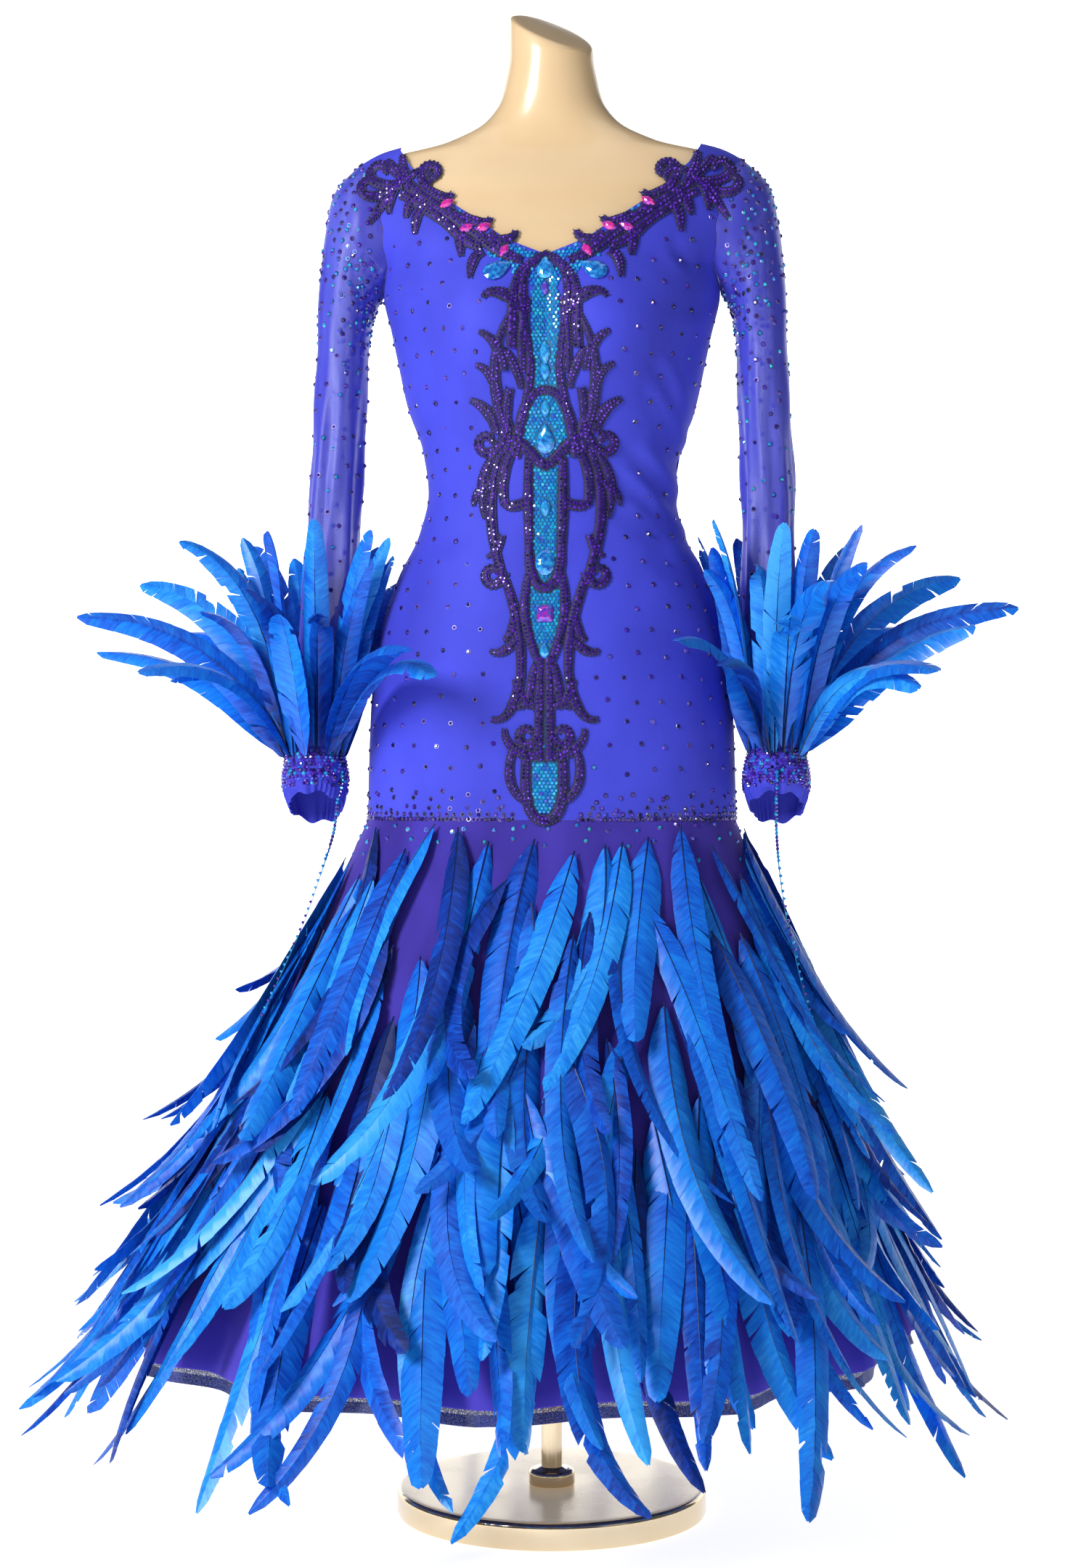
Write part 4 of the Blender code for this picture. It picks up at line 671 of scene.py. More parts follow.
def feather_finish():
    """Dyed feathers: barbs as fine slanted lines, each feather's own dye, darker quills."""
    material, tree, shader = new_finish("azure feather", {
        "Roughness": 0.32, "Sheen Weight": 0.08, "Sheen Roughness": 0.35,
        "Sheen Tint": (0.15, 0.50, 1.0, 1.0), "Specular IOR Level": 0.36,
    })
    vane = attribute(tree, "vane", "Vector")
    dye = attribute(tree, "dye")
    quill = attribute(tree, "quill")
    parts = add(tree, "ShaderNodeSeparateXYZ", {"Vector": vane})
    across, along, streak = (parts.outputs[k] for k in "XYZ")
    barbs = stretched_noise(tree, vane, 1.0, (3.0, 0.0, 900.0), 2.0)
    patches = stretched_noise(tree, vane, 1.0, (1.5, 6.0, 30.0), 2.0)
    share = added(tree, dye, ramp_value(tree, barbs, 0.3, 0.7, -0.04, 0.04))
    share = added(tree, share, ramp_value(tree, patches, 0.3, 0.7, -0.12, 0.12))
    share = added(tree, share, ramp_value(tree, along, 0.0, 0.35, -0.22, 0.0))
    share = added(tree, share, ramp_value(tree, across, 0.0, 0.25, -0.12, 0.0))
    vanes = colour_ramp(tree, share, (
        (0.00, (0.003, 0.014, 0.115)), (0.28, (0.005, 0.042, 0.370)),
        (0.52, (0.006, 0.122, 0.690)), (0.78, (0.010, 0.240, 0.850)),
        (1.00, (0.040, 0.390, 0.960)),
    ))
    mixed = add(tree, "ShaderNodeMix", {
        "Factor": quill, 6: vanes, 7: (0.006, 0.020, 0.110, 1.0),
    }, data_type="RGBA")
    tree.links.new(mixed.outputs[2], shader.inputs["Base Color"])
    relief(tree, shader, barbs, 0.16, 0.0004)
    return material


def lacquer_finish():
    """Cream lacquer over a moulded shell: a soft mottle under a clear gloss."""
    return plain_finish("cream lacquer", {
        "Roughness": 0.30, "Coat Weight": 0.7, "Coat Roughness": 0.12, "Specular IOR Level": 0.5,
    }, (7.0, (1, 1, 1), 3.0), (
        (0.3, (0.700, 0.490, 0.270)), (0.7, (0.770, 0.570, 0.340)),
    ), (60.0, (1, 1, 1), 2.0, 0.05, 0.001))


def metal_finish(name, roughness, colours, metallic=1.0):
    """Metal, or paint with some metal in it, with fine turning lines and faint wear."""
    material, tree, shader = new_finish(name, {"Metallic": metallic, "Roughness": roughness})
    place = object_coordinates(tree)
    cloud = stretched_noise(tree, place, 14.0, (1, 1, 1), 4.0)
    set_colour(tree, shader, cloud, ((0.3, colours[0]), (0.7, colours[1])))
    rough = ramp_value(tree, cloud, 0.3, 0.7, roughness * 0.8, roughness * 1.25)
    tree.links.new(rough, shader.inputs["Roughness"])
    grain = stretched_noise(tree, place, 300.0, (1, 1, 6.0), 2.0)
    relief(tree, shader, grain, 0.04, 0.0004)
    return material


def stage_finish():
    """Plain pale paper that gives a little light of its own."""
    return plain_finish("pale paper", {
        "Roughness": 0.9, "Specular IOR Level": 0.1, "Emission Color": (1.0, 1.0, 1.0, 1.0),
        "Emission Strength": 0.85,
    }, (3.0, (1, 1, 1), 2.0), ((0.3, (0.90, 0.90, 0.90)), (0.7, (0.93, 0.93, 0.93))))


def make_stage(paper):
    """A floor that curves up into a wall behind."""
    profile = [(-9.0, 0.0), (7.6, 0.0)]
    for k in range(1, 13):
        bend = math.pi / 2 * k / 12
        profile.append((7.6 + 1.4 * math.sin(bend), 1.4 * (1 - math.cos(bend))))
    profile.append((9.0, 6.5))
    points = [(x, y, z) for y, z in profile for x in (-9.0, 9.0)]
    item = plain_mesh("floor_and_wall", points, grid_faces(len(profile), 2), paper, 60)


def make_camera():
    """The camera, as solved from the photograph's perspective: level, a little to the left."""
    azimuth = math.radians(3.5)
    distance = 2.92
    ahead = Vector((-math.sin(azimuth), math.cos(azimuth), 0.0))
    right = Vector((math.cos(azimuth), math.sin(azimuth), 0.0))
    camera = bpy.data.objects.new("camera", bpy.data.cameras.new("camera"))
    camera.data.sensor_width = 36.0
    camera.data.lens = 63.95
    camera.location = -ahead * distance - right * 0.0076 + Vector((0.0, 0.0, 0.761))
    camera.rotation_euler = ahead.to_track_quat("-Z", "Y").to_euler()
    bpy.context.scene.collection.objects.link(camera)
    bpy.context.scene.camera = camera


def make_light(name, place, aim, size, power):
    """A soft panel of light that is aimed at a place."""
    data = bpy.data.lights.new(name, "AREA")
    data.shape = "RECTANGLE"
    data.size, data.size_y = size
    data.energy = power
    lamp = bpy.data.objects.new(name, data)
    lamp.location = place
    lamp.rotation_euler = (Vector(aim) - Vector(place)).to_track_quat("-Z", "Y").to_euler()
    bpy.context.scene.collection.objects.link(lamp)


def make_lights():
    """A key panel in front on the left, weak ones beside and above, and an even surround."""
    make_light("key", (-1.9, -2.3, 2.1), (0, 0, 0.8), (0.9, 1.3), 92)
    make_light("fill", (2.6, -2.2, 1.2), (0, 0, 0.8), (1.2, 2.2), 2)
    make_light("top", (0.0, -0.4, 3.2), (0, 0, 0.8), (2.2, 1.6), 8)
    make_light("wall_wash", (0.0, 6.4, 4.4), (0, 9.0, 1.4), (6.0, 1.0), 150)
    world = bpy.data.worlds.new("surround")
    world.use_nodes = True
    background = world.node_tree.nodes["Background"]
    background.inputs["Color"].default_value = (1.0, 1.0, 1.0, 1.0)
    background.inputs["Strength"].default_value = 0.10
    bpy.context.scene.world = world
    bpy.context.scene.view_settings.view_transform = "Standard"


def turned_piece(name, profile, sides, finish):
    """A smooth solid turned about the Z axis from a profile of radii and heights."""
    turns = np.linspace(0, 2 * math.pi, sides, endpoint=False)
    rings = [np.stack([r * np.cos(turns), r * np.sin(turns), np.full(sides, z)], -1)
             for r, z in profile]
    faces = grid_faces(len(profile), sides, True).tolist()
    last = (len(profile) - 1) * sides
    faces.append(list(range(sides))[::-1])
    faces.append(list(range(last, last + sides)))
    return plain_mesh(name, rings, faces, finish, FORM_SHARP_ANGLE)


def rounded(profile_corner, radius, steps=5):
    """Points of a quarter round between a wall and a top that meet at a corner."""
    r, z = profile_corner
    points = []
    for k in range(steps + 1):
        bend = math.pi / 2 * k / steps
        points.append((r - radius + radius * math.cos(bend), z - radius + radius * math.sin(bend)))
    return points


def make_torso(lacquer):
    """Torso of the dress form, with its slanted neck cut."""
    turns = np.linspace(0, 2 * math.pi, FORM_SIDES, endpoint=False)
    heights = np.concatenate([
        np.linspace(FORM_BOTTOM, 0.72, 6), np.linspace(0.74, 1.30, 50),
        np.linspace(1.31, 1.46, 34), np.linspace(1.468, 1.52, 12)])
    rings = [body_surface(z, turns)[0] for z in heights]
    rim = body_surface(NECK_CUT_HEIGHT, turns)[0]
    slant = NECK_CUT_SIDE_SLOPE * rim[:, 0] + NECK_CUT_BACK_SLOPE * rim[:, 1]
    middle = np.array([0.0, 0.0, NECK_CUT_HEIGHT])
    for inset, drop in NECK_CUT_RINGS:
        shrink = 1 - inset / NECK_CUT_RADIUS
        ring = rim * [shrink, shrink, 1.0]
        ring[:, 2] += slant * shrink - drop
        rings.append(ring)
    rings = [rings[0] * [0.9, 0.9, 1.0]] + rings
    points = np.array(rings).reshape(-1, 3).tolist()
    faces = grid_faces(len(rings), FORM_SIDES, True).tolist()
    last = len(points) - FORM_SIDES
    points.append((middle + [0, 0, 0.0018]).tolist())
    for k in range(FORM_SIDES):
        faces.append([last + k, last + (k + 1) % FORM_SIDES, len(points) - 1])
    faces.append(list(range(FORM_SIDES))[::-1])
    torso = plain_mesh("dress_form", points, faces, lacquer, FORM_SHARP_ANGLE)
    place_piece(torso, "cream_lacquer", "form_torso")


def make_stand():
    """Base, pole and collar of the dress form."""
    glossy = metal_finish("glossy pale gold", 0.24, ((0.84, 0.70, 0.46), (0.90, 0.78, 0.56)), 0.2)
    # Painted light: the base's top glows a little, standing in for the pale floor's bounce light
    # where the skirt shades it
    painted_light_inputs = glossy.node_tree.nodes["Principled BSDF"].inputs
    painted_light_inputs["Emission Color"].default_value = (0.90, 0.74, 0.50, 1.0)
    painted_light_inputs["Emission Strength"].default_value = 0.22
    polished = metal_finish("polished pale gold", 0.12, ((0.78, 0.62, 0.40), (0.84, 0.70, 0.48)))

    top = BASE_HEIGHT
    edge = [(BASE_RADIUS - 0.003, 0.0), (BASE_RADIUS - 0.0008, 0.0008), (BASE_RADIUS, 0.003)]
    profile = edge + rounded((BASE_RADIUS, top), 0.006, 7)
    base = turned_piece("round_base", profile + [(BASE_RADIUS - 0.012, top)], 128, polished)
    base.data.materials.append(glossy)
    for polygon in base.data.polygons:
        if polygon.normal.z > 0.92:
            polygon.material_index = 1
    place_piece(base, "pale_gold_metal", "form_base")
    foot = BASE_HEIGHT + SEAM_GAP
    pole = turned_piece("pole", [(POLE_RADIUS, foot), (POLE_RADIUS, FORM_BOTTOM - SEAM_GAP)],
                        48, polished)
    place_piece(pole, "pale_gold_metal", "form_pole")
    collar_top = foot + COLLAR_HEIGHT
    profile = [(COLLAR_RADIUS - 0.001, foot), (COLLAR_RADIUS, foot + 0.001)]
    profile += rounded((COLLAR_RADIUS, collar_top), 0.005, 6)
    profile += [(POLE_RADIUS + 0.003, collar_top + 0.0004),
                (POLE_RADIUS + 0.0006, collar_top + 0.002)]
    collar = turned_piece("pole_collar", profile, 64, polished)
    place_piece(collar, "pale_gold_metal", "form_collar")


def place_piece(item, slot, *nodes):
    """A piece of the gown or the form: hung on its body, and the solids it stands for hidden; its
    finish's slot is not used.
    """
    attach(item, "root")
    if nodes:
        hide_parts(*nodes)


# Creases of the bodice's front: start x and z, end x and z, then depth and width in millimetres
FRONT_CREASES = (
    (0.104, 1.192, 0.129, 1.130, 2.0, 7), (0.095, 1.168, 0.128, 1.086, 2.4, 8),
    (0.077, 1.106, 0.133, 1.026, 2.6, 8), (0.061, 1.077, 0.131, 1.006, 2.4, 8),
    (0.059, 1.046, 0.124, 0.994, 1.8, 9), (0.100, 0.990, 0.150, 0.962, 1.2, 10),
    (-0.114, 1.170, -0.125, 1.112, 1.3, 8), (-0.104, 1.150, -0.122, 1.098, 0.9, 9),
    (-0.070, 1.020, -0.125, 1.000, 0.7, 11), (0.150, 1.285, 0.125, 1.320, 1.2, 7),
    (-0.150, 1.285, -0.125, 1.320, 1.2, 7), (0.158, 1.265, 0.120, 1.235, 1.2, 8),
    (-0.158, 1.265, -0.120, 1.240, 1.0, 8),
)
BACK_CREASES = (
    (0.120, 1.120, 0.040, 1.060, 1.3, 10), (-0.120, 1.110, -0.035, 1.050, 1.3, 10),
    (0.122, 1.075, 0.030, 1.020, 1.2, 11), (-0.122, 1.065, -0.040, 1.005, 1.2, 11),
    (0.150, 1.290, 0.110, 1.250, 1.3, 9), (-0.150, 1.290, -0.110, 1.250, 1.3, 9),
    (0.130, 0.990, 0.060, 0.950, 1.0, 12), (-0.130, 0.985, -0.060, 0.945, 1.0, 12),
)
# Dart seams of the bodice's front: start x and z, end x and z, depth and width in millimetres
DARTS = (
    (0.150, 1.190, 0.095, 1.212, 0.7, 1.3), (-0.150, 1.190, -0.095, 1.212, 0.7, 1.3),
)


def crease_depth(points, creases):
    """How far creases sink the cloth at its points."""
    x = points[..., 0]
    z = points[..., 2]
    sunk = np.zeros(x.shape)
    for start_x, start_z, end_x, end_z, depth, width in creases:
        run = np.array([end_x - start_x, end_z - start_z])
        length = np.linalg.norm(run)
        run = run / length
        along = ((x - start_x) * run[0] + (z - start_z) * run[1]) / length
        bow = 0.004 * np.sin(np.clip(along, 0, 1) * math.pi)
        beside = (x - start_x) * -run[1] + (z - start_z) * run[0] - bow
        fade = np.clip(1 - (2 * along - 1) ** 2, 0, 1) ** 0.8 * ((along > 0) & (along < 1))
        wide = width / 1000
        groove = np.exp(-(beside / wide) ** 2) - 0.9 * np.exp(-((beside - 1.7 * wide) / wide) ** 2)
        sunk += depth / 1000 * groove * fade
    return np.clip(1.7 * sunk, -0.0036, 0.0014)


def panel(neckline, facing, side, creases, columns=36):
    """Points of half a bodice panel, from its lower edge up to the shoulder."""
    heights = np.concatenate([
        np.linspace(HIP_SEAM, 1.215, 104), np.linspace(1.222, 1.398, 40),
        np.linspace(1.401, SHOULDER_RIDGE, 5), np.linspace(1.412, STRAP_APEX - 0.0004, 6)])
    heights = np.unique(np.concatenate([heights, [neckline[0][0], UNDERARM]]))
    shares = np.linspace(0, 1, columns + 1)
    rows = []
    for z in heights:
        first = float(angle_at(z, line(neckline, z))) if z > neckline[0][0] else 0.0
        last = float(armhole_angle(z)) if UNDERARM < z < SHOULDER_RIDGE else math.pi / 2
        angles = first + (last - first) * shares
        turns = angles if facing < 0 else math.pi - angles
        points, normals = body_surface(z, turns)
        if z == HIP_SEAM:
            normals[:, 2] = 0.0
            normals = unit(normals)
        out = ease_at(z) + CLOTH - crease_depth(points * [side, 1, 1], creases)
        points = points + normals * np.asarray(out)[:, None]
        if last == math.pi / 2:
            points[-1, 1] = facing * SEAM_GAP / 2
        rows.append(points * [side, 1, 1])
    return np.array(rows)


def make_bodice(jersey):
    """Front in one piece with its V neck, and the back in two with a centre seam."""
    pieces = {}
    for name, facing, neckline, creases in (
            ("front", -1, FRONT_NECKLINE, FRONT_CREASES + DARTS),
            ("back", 1, BACK_NECKLINE, BACK_CREASES)):
        for side_name, side in SIDES:
            grid = panel(neckline, facing, side, creases)
            if facing > 0:
                grid[grid[:, 0, 2] <= BACK_NECKLINE[0][0] + 0.0001, 0, 0] = side * SEAM_GAP / 2
            faces = grid_faces(*grid.shape[:2])
            if side * facing > 0:
                faces = faces[:, ::-1]
            pieces[name, side_name] = (grid, faces)
    left, left_faces = pieces["front", "left"]
    right, right_faces = pieces["front", "right"]
    points = np.concatenate([left.reshape(-1, 3), right.reshape(-1, 3)])
    faces = np.concatenate([left_faces, right_faces + left.shape[0] * left.shape[1]])
    front = plain_mesh("bodice_front_cloth", points, faces, jersey)
    finish_cloth(front, VISIBLE_CLOTH)
    place_piece(front, "royal_jersey", "bodice_front")
    for side_name, side in SIDES:
        grid, faces = pieces["back", side_name]
        back = plain_mesh(f"bodice_back_cloth_{side_name}", grid, faces, jersey)
        finish_cloth(back, VISIBLE_CLOTH)
        place_piece(back, "royal_jersey", f"bodice_back_{side_name}")
    return front


def finish_cloth(item, thickness):
    """Merge a sheet's doubles, give it its wall and shade it smooth."""
    tidy_mesh(item)
    give_wall(item, thickness)
    item.data.shade_smooth()
    item.data.set_sharp_from_angle(angle=math.radians(60))


def sleeve_grid(side_name, side, count=64, rows=100):
    """Points of a sleeve: rings from the armhole down to the cuff, with long soft folds."""
    phi = np.linspace(0, 360, count, endpoint=False)
    folded = np.where(phi > 180, 360 - phi, phi)
    heights = curve(ARMHOLE_HEIGHTS, 1, folded)
    angles = armhole_angle(heights)
    front = phi <= 180
    turns = np.where(front, angles, math.pi - angles)
    loop, normals = body_surface(heights, turns)
    loop = loop + normals * np.asarray(ease_at(heights) + CLOTH)[:, None]
    loop[:, 0] += SEAM_GAP * 1.3
    wrist = WRIST_X[side_name]
    last = (wrist + 0.0272, SLEEVE_END, wrist - 0.0272, SLEEVE_END, 0.0302, WRIST_Y)
    rings = [loop]
    turn = np.radians(phi)[:, None]
    for top_x, top_z, under_x, under_z, half_depth, middle_y in SLEEVE_RINGS + (last,):
        shift = (wrist - WRIST_X["right"]) * float(blend(1.10 - top_z, 0.0, 0.26))
        shift = 0.0 if top_z == SLEEVE_END else shift
        top = np.array([top_x + shift, middle_y, top_z])
        under = np.array([under_x + shift, middle_y, under_z])
        ring = (top + under) / 2 + (top - under) / 2 * np.cos(turn)
        rings.append(ring - np.array([0, half_depth, 0]) * np.sin(turn))
    rings = np.array(rings)
    stops = lengths_along(rings.mean(axis=1))
    along = np.concatenate([
        np.linspace(0, stops[3], 34), np.linspace(stops[3], stops[-1], rows - 33)[1:]])
    grid = smooth_rings(rings, stops, along)
    centre = grid.mean(axis=1, keepdims=True)
    out = unit(grid - centre)
    z = grid[..., 2]
    lower = blend(1.20 - z, 0.0, 0.12)
    ends = blend(z, SLEEVE_END + 0.002, SLEEVE_END + 0.03)
    angle = np.radians(phi)[None, :]
    soft = 0.0020 * np.sin(5 * angle + 9 * z) + 0.0013 * np.sin(9 * angle - 14 * z + 1.3)
    rumple = 0.0010 * np.sin(60 * z + 2 * angle) * np.sin(2.3 * angle + 0.6) * blend(z, 0.86, 1.0)
    ease_in = blend(np.arange(len(grid)), 1, 12)[:, None]
    swell = (soft * (0.35 + 0.65 * lower) + rumple) * ends * ease_in
    grid = grid + out * swell[..., None]
    return grid * [side, 1, 1]


def smooth_rings(rings, stops, along):
    """Rings at places along a stack of rings, on smooth curves through them."""
    slopes = np.gradient(rings, stops, axis=0)
    i = np.clip(np.searchsorted(stops, along, side="right") - 1, 0, len(stops) - 2)
    span = (stops[i + 1] - stops[i])[:, None, None]
    t = (along - stops[i])[:, None, None] / span
    return between(rings[i], rings[i + 1], span * slopes[i], span * slopes[i + 1], t)


def make_sleeves(mesh_cloth):
    """The two sheer sleeves, each a tube from its armhole to its cuff."""
    sleeves = {}
    for side_name, side in SIDES:
        grid = sleeve_grid(side_name, side)
        faces = grid_faces(*grid.shape[:2], True)
        if side < 0:
            faces = faces[:, ::-1]
        sleeve = plain_mesh(f"sleeve_cloth_{side_name}", grid, faces, mesh_cloth)
        finish_cloth(sleeve, SLEEVE_CLOTH)
        place_piece(sleeve, "sheer_mesh", f"sleeve_{side_name}")
        sleeves[side_name] = (sleeve, grid)
    return sleeves


def cuff_points(side_name, side, count=120, rows=34):
    """Points of a cuff from its mouth up to the sleeve, shirred towards the mouth."""
    heights = np.linspace(CUFF_RINGS[0][0], CUFF_RINGS[-1][0], rows)
    turn = np.linspace(0, 2 * math.pi, count, endpoint=False)[None, :]
    z = heights[:, None]
    half_width = curve(CUFF_RINGS, 1, z)
    half_depth = curve(CUFF_RINGS, 2, z)
    rise = curve(CUFF_RINGS, 3, z)
    mouth = 1 - blend(z, 0.742, 0.772)
    shirring = 0.0013 * mouth * np.sin(23 * turn + 6 * np.sin(3 * turn)) - 0.0004
    scallop = 0.0022 * (1 - blend(z, 0.737, 0.750)) * np.sin(7 * turn + 1.0)
    x = WRIST_X[side_name] + (half_width + shirring) * np.cos(turn)
    y = WRIST_Y - (half_depth + shirring) * np.sin(turn)
    return np.stack([x * side, y, z + rise * np.sin(turn) + scallop], -1)


def make_cuffs(jersey):
    """The two cuffs."""
    grids = {}
    for side_name, side in SIDES:
        grid = cuff_points(side_name, side)
        faces = grid_faces(*grid.shape[:2], True)
        if side > 0:
            faces = faces[:, ::-1]
        cuff = plain_mesh(f"cuff_cloth_{side_name}", grid, faces, jersey)
        finish_cloth(cuff, VISIBLE_CLOTH)
        place_piece(cuff, "royal_jersey", f"cuff_{side_name}")
        grids[side_name] = grid
    return grids


def flute_wave(turn):
    """The skirt's wave from its flutes at turns round it: 1 on a crest, -1 in a trough."""
    shares = np.array(FLUTES)
    total = shares[:, 0].sum()
    starts = np.concatenate([[0], np.cumsum(shares[:, 0])]) / total * 2 * math.pi
    turn = np.mod(turn, 2 * math.pi)
    k = np.clip(np.searchsorted(starts, turn, side="right") - 1, 0, len(shares) - 1)
    local = (turn - starts[k]) / (starts[k + 1] - starts[k])
    return shares[k, 1] * np.cos(2 * math.pi * local)


def skirt_surface(turn, share, wave, inward=0.0):
    """Points of the skirt's outer face at turns and shares of the way to the hem."""
    turn, share = np.broadcast_arrays(np.asarray(turn, float), np.asarray(share, float))
    hip, normal = body_surface(HIP_SEAM, turn)
    normal = unit(normal * [1, 1, 0])
    hip = hip + normal * (EASE + CLOTH)
    hip[..., 2] = HIP_SEAM - SEAM_GAP
    around = np.stack([np.sin(turn), -np.cos(turn), np.zeros(turn.shape)], -1)
    hem = around * [HEM_HALF_WIDTH, HEM_HALF_DEPTH, 0] + [HEM_CENTRE_X, 0, HEM]
    part = np.clip(share, 0, 1)[..., None]
    out = unit(normal * (1 - part) + around * part)
    flare = FLUTE_DEPTH * wave * np.abs(share) ** FLUTE_GROWTH
    return hip + (hem - hip) * share[..., None] + out * (flare - inward)[..., None]


def make_skirt(georgette, net, braid):
    """The fluted skirt with its rolled hem, and the net petticoat with its braided edge."""
    turns = np.linspace(0, 2 * math.pi, 216, endpoint=False)[None, :]
    wave = flute_wave(turns)
    shares = np.linspace(0, 1, 46)[:, None]
    sway = 0.16 * np.sin(17 * turns + 1.0) * shares + 0.12 * np.sin(31 * turns) * shares ** 2
    grid = skirt_surface(turns, shares, wave + sway)
    roll = []
    for k in range(5):
        bend = math.pi * k / 4
        back = skirt_surface(turns, 1.0, wave + sway[-1:], 0.0016 * (1 - math.cos(bend)) / 2)[0]
        back[:, 2] -= 0.0016 * math.sin(bend)
        roll.append(back)
    grid = np.concatenate([grid, np.array(roll)[1:]])
    skirt = plain_mesh("skirt_cloth", grid, grid_faces(*grid.shape[:2], True)[:, ::-1], georgette)
    finish_cloth(skirt, VISIBLE_CLOTH)
    place_piece(skirt, "violet_georgette", "skirt")

    def inset(share):
        return CLOTH * 1.15 + 0.0012 + 0.0048 * blend(share, 0.04, 0.5)

    shares = np.linspace(0.04, 1.03, 20)[:, None]
    grid = skirt_surface(turns, shares, wave, inset(shares))
    petticoat = plain_mesh("net_petticoat_cloth", grid,
                           grid_faces(*grid.shape[:2], True)[:, ::-1], net)
    finish_cloth(petticoat, 0.0006)
    place_piece(petticoat, "dark_net", "net_petticoat")
    shares = np.linspace(1.012, 1.030, 4)[:, None]
    grid = skirt_surface(turns, shares, wave, inset(shares) - 0.0006)
    edge = plain_mesh("net_braid", grid, grid_faces(*grid.shape[:2], True)[:, ::-1], braid)
    finish_cloth(edge, 0.0012)
    place_piece(edge, "dark_net")


def along_path(path, places):
    """Values on each feather's path, N stations evenly spaced, at shares of its length."""
    count = path.shape[1]
    at = np.clip(places, 0.0, 1.0) * (count - 1)
    i = np.clip(at.astype(int), 0, count - 2)
    t = (at - i)[..., None]
    feather = np.arange(path.shape[0]).reshape((-1,) + (1,) * (places.ndim - 1))
    return path[feather, i] * (1 - t) + path[feather, i + 1] * t


def build_quills(paths, across, normals, dyes, start):
    """Points, faces, vane places and dyes of the quills, whose first point has number start."""
    total = len(paths)
    shape = (total, QUILL_RINGS)
    places = np.broadcast_to(np.linspace(0.0, 0.97, QUILL_RINGS)[None, :], shape)
    centre = along_path(paths, places)
    beside = along_path(across, places)
    up = along_path(normals, places)
    radius = (QUILL_RADIUS * (1 - 0.82 * places))[..., None]
    ring = [centre + beside * radius, centre + up * radius * 1.1, centre - beside * radius]
    size = QUILL_RINGS * 3
    first = start + np.arange(total)[:, None, None] * size
    faces = (grid_faces(QUILL_RINGS, 3, True)[None] + first).reshape(-1, 4).tolist()
    ends = np.array([[2, 1, 0], [size - 3, size - 2, size - 1]])
    faces += (ends[None] + first).reshape(-1, 3).tolist()
    vane = np.stack([np.zeros(shape), places, places * 3], -1).reshape(-1, 3)
    dye = np.broadcast_to(dyes[:, None], shape).reshape(-1)
    return np.stack(ring, -2).reshape(-1, 3), faces, np.repeat(vane, 3, axis=0), np.repeat(dye, 3)


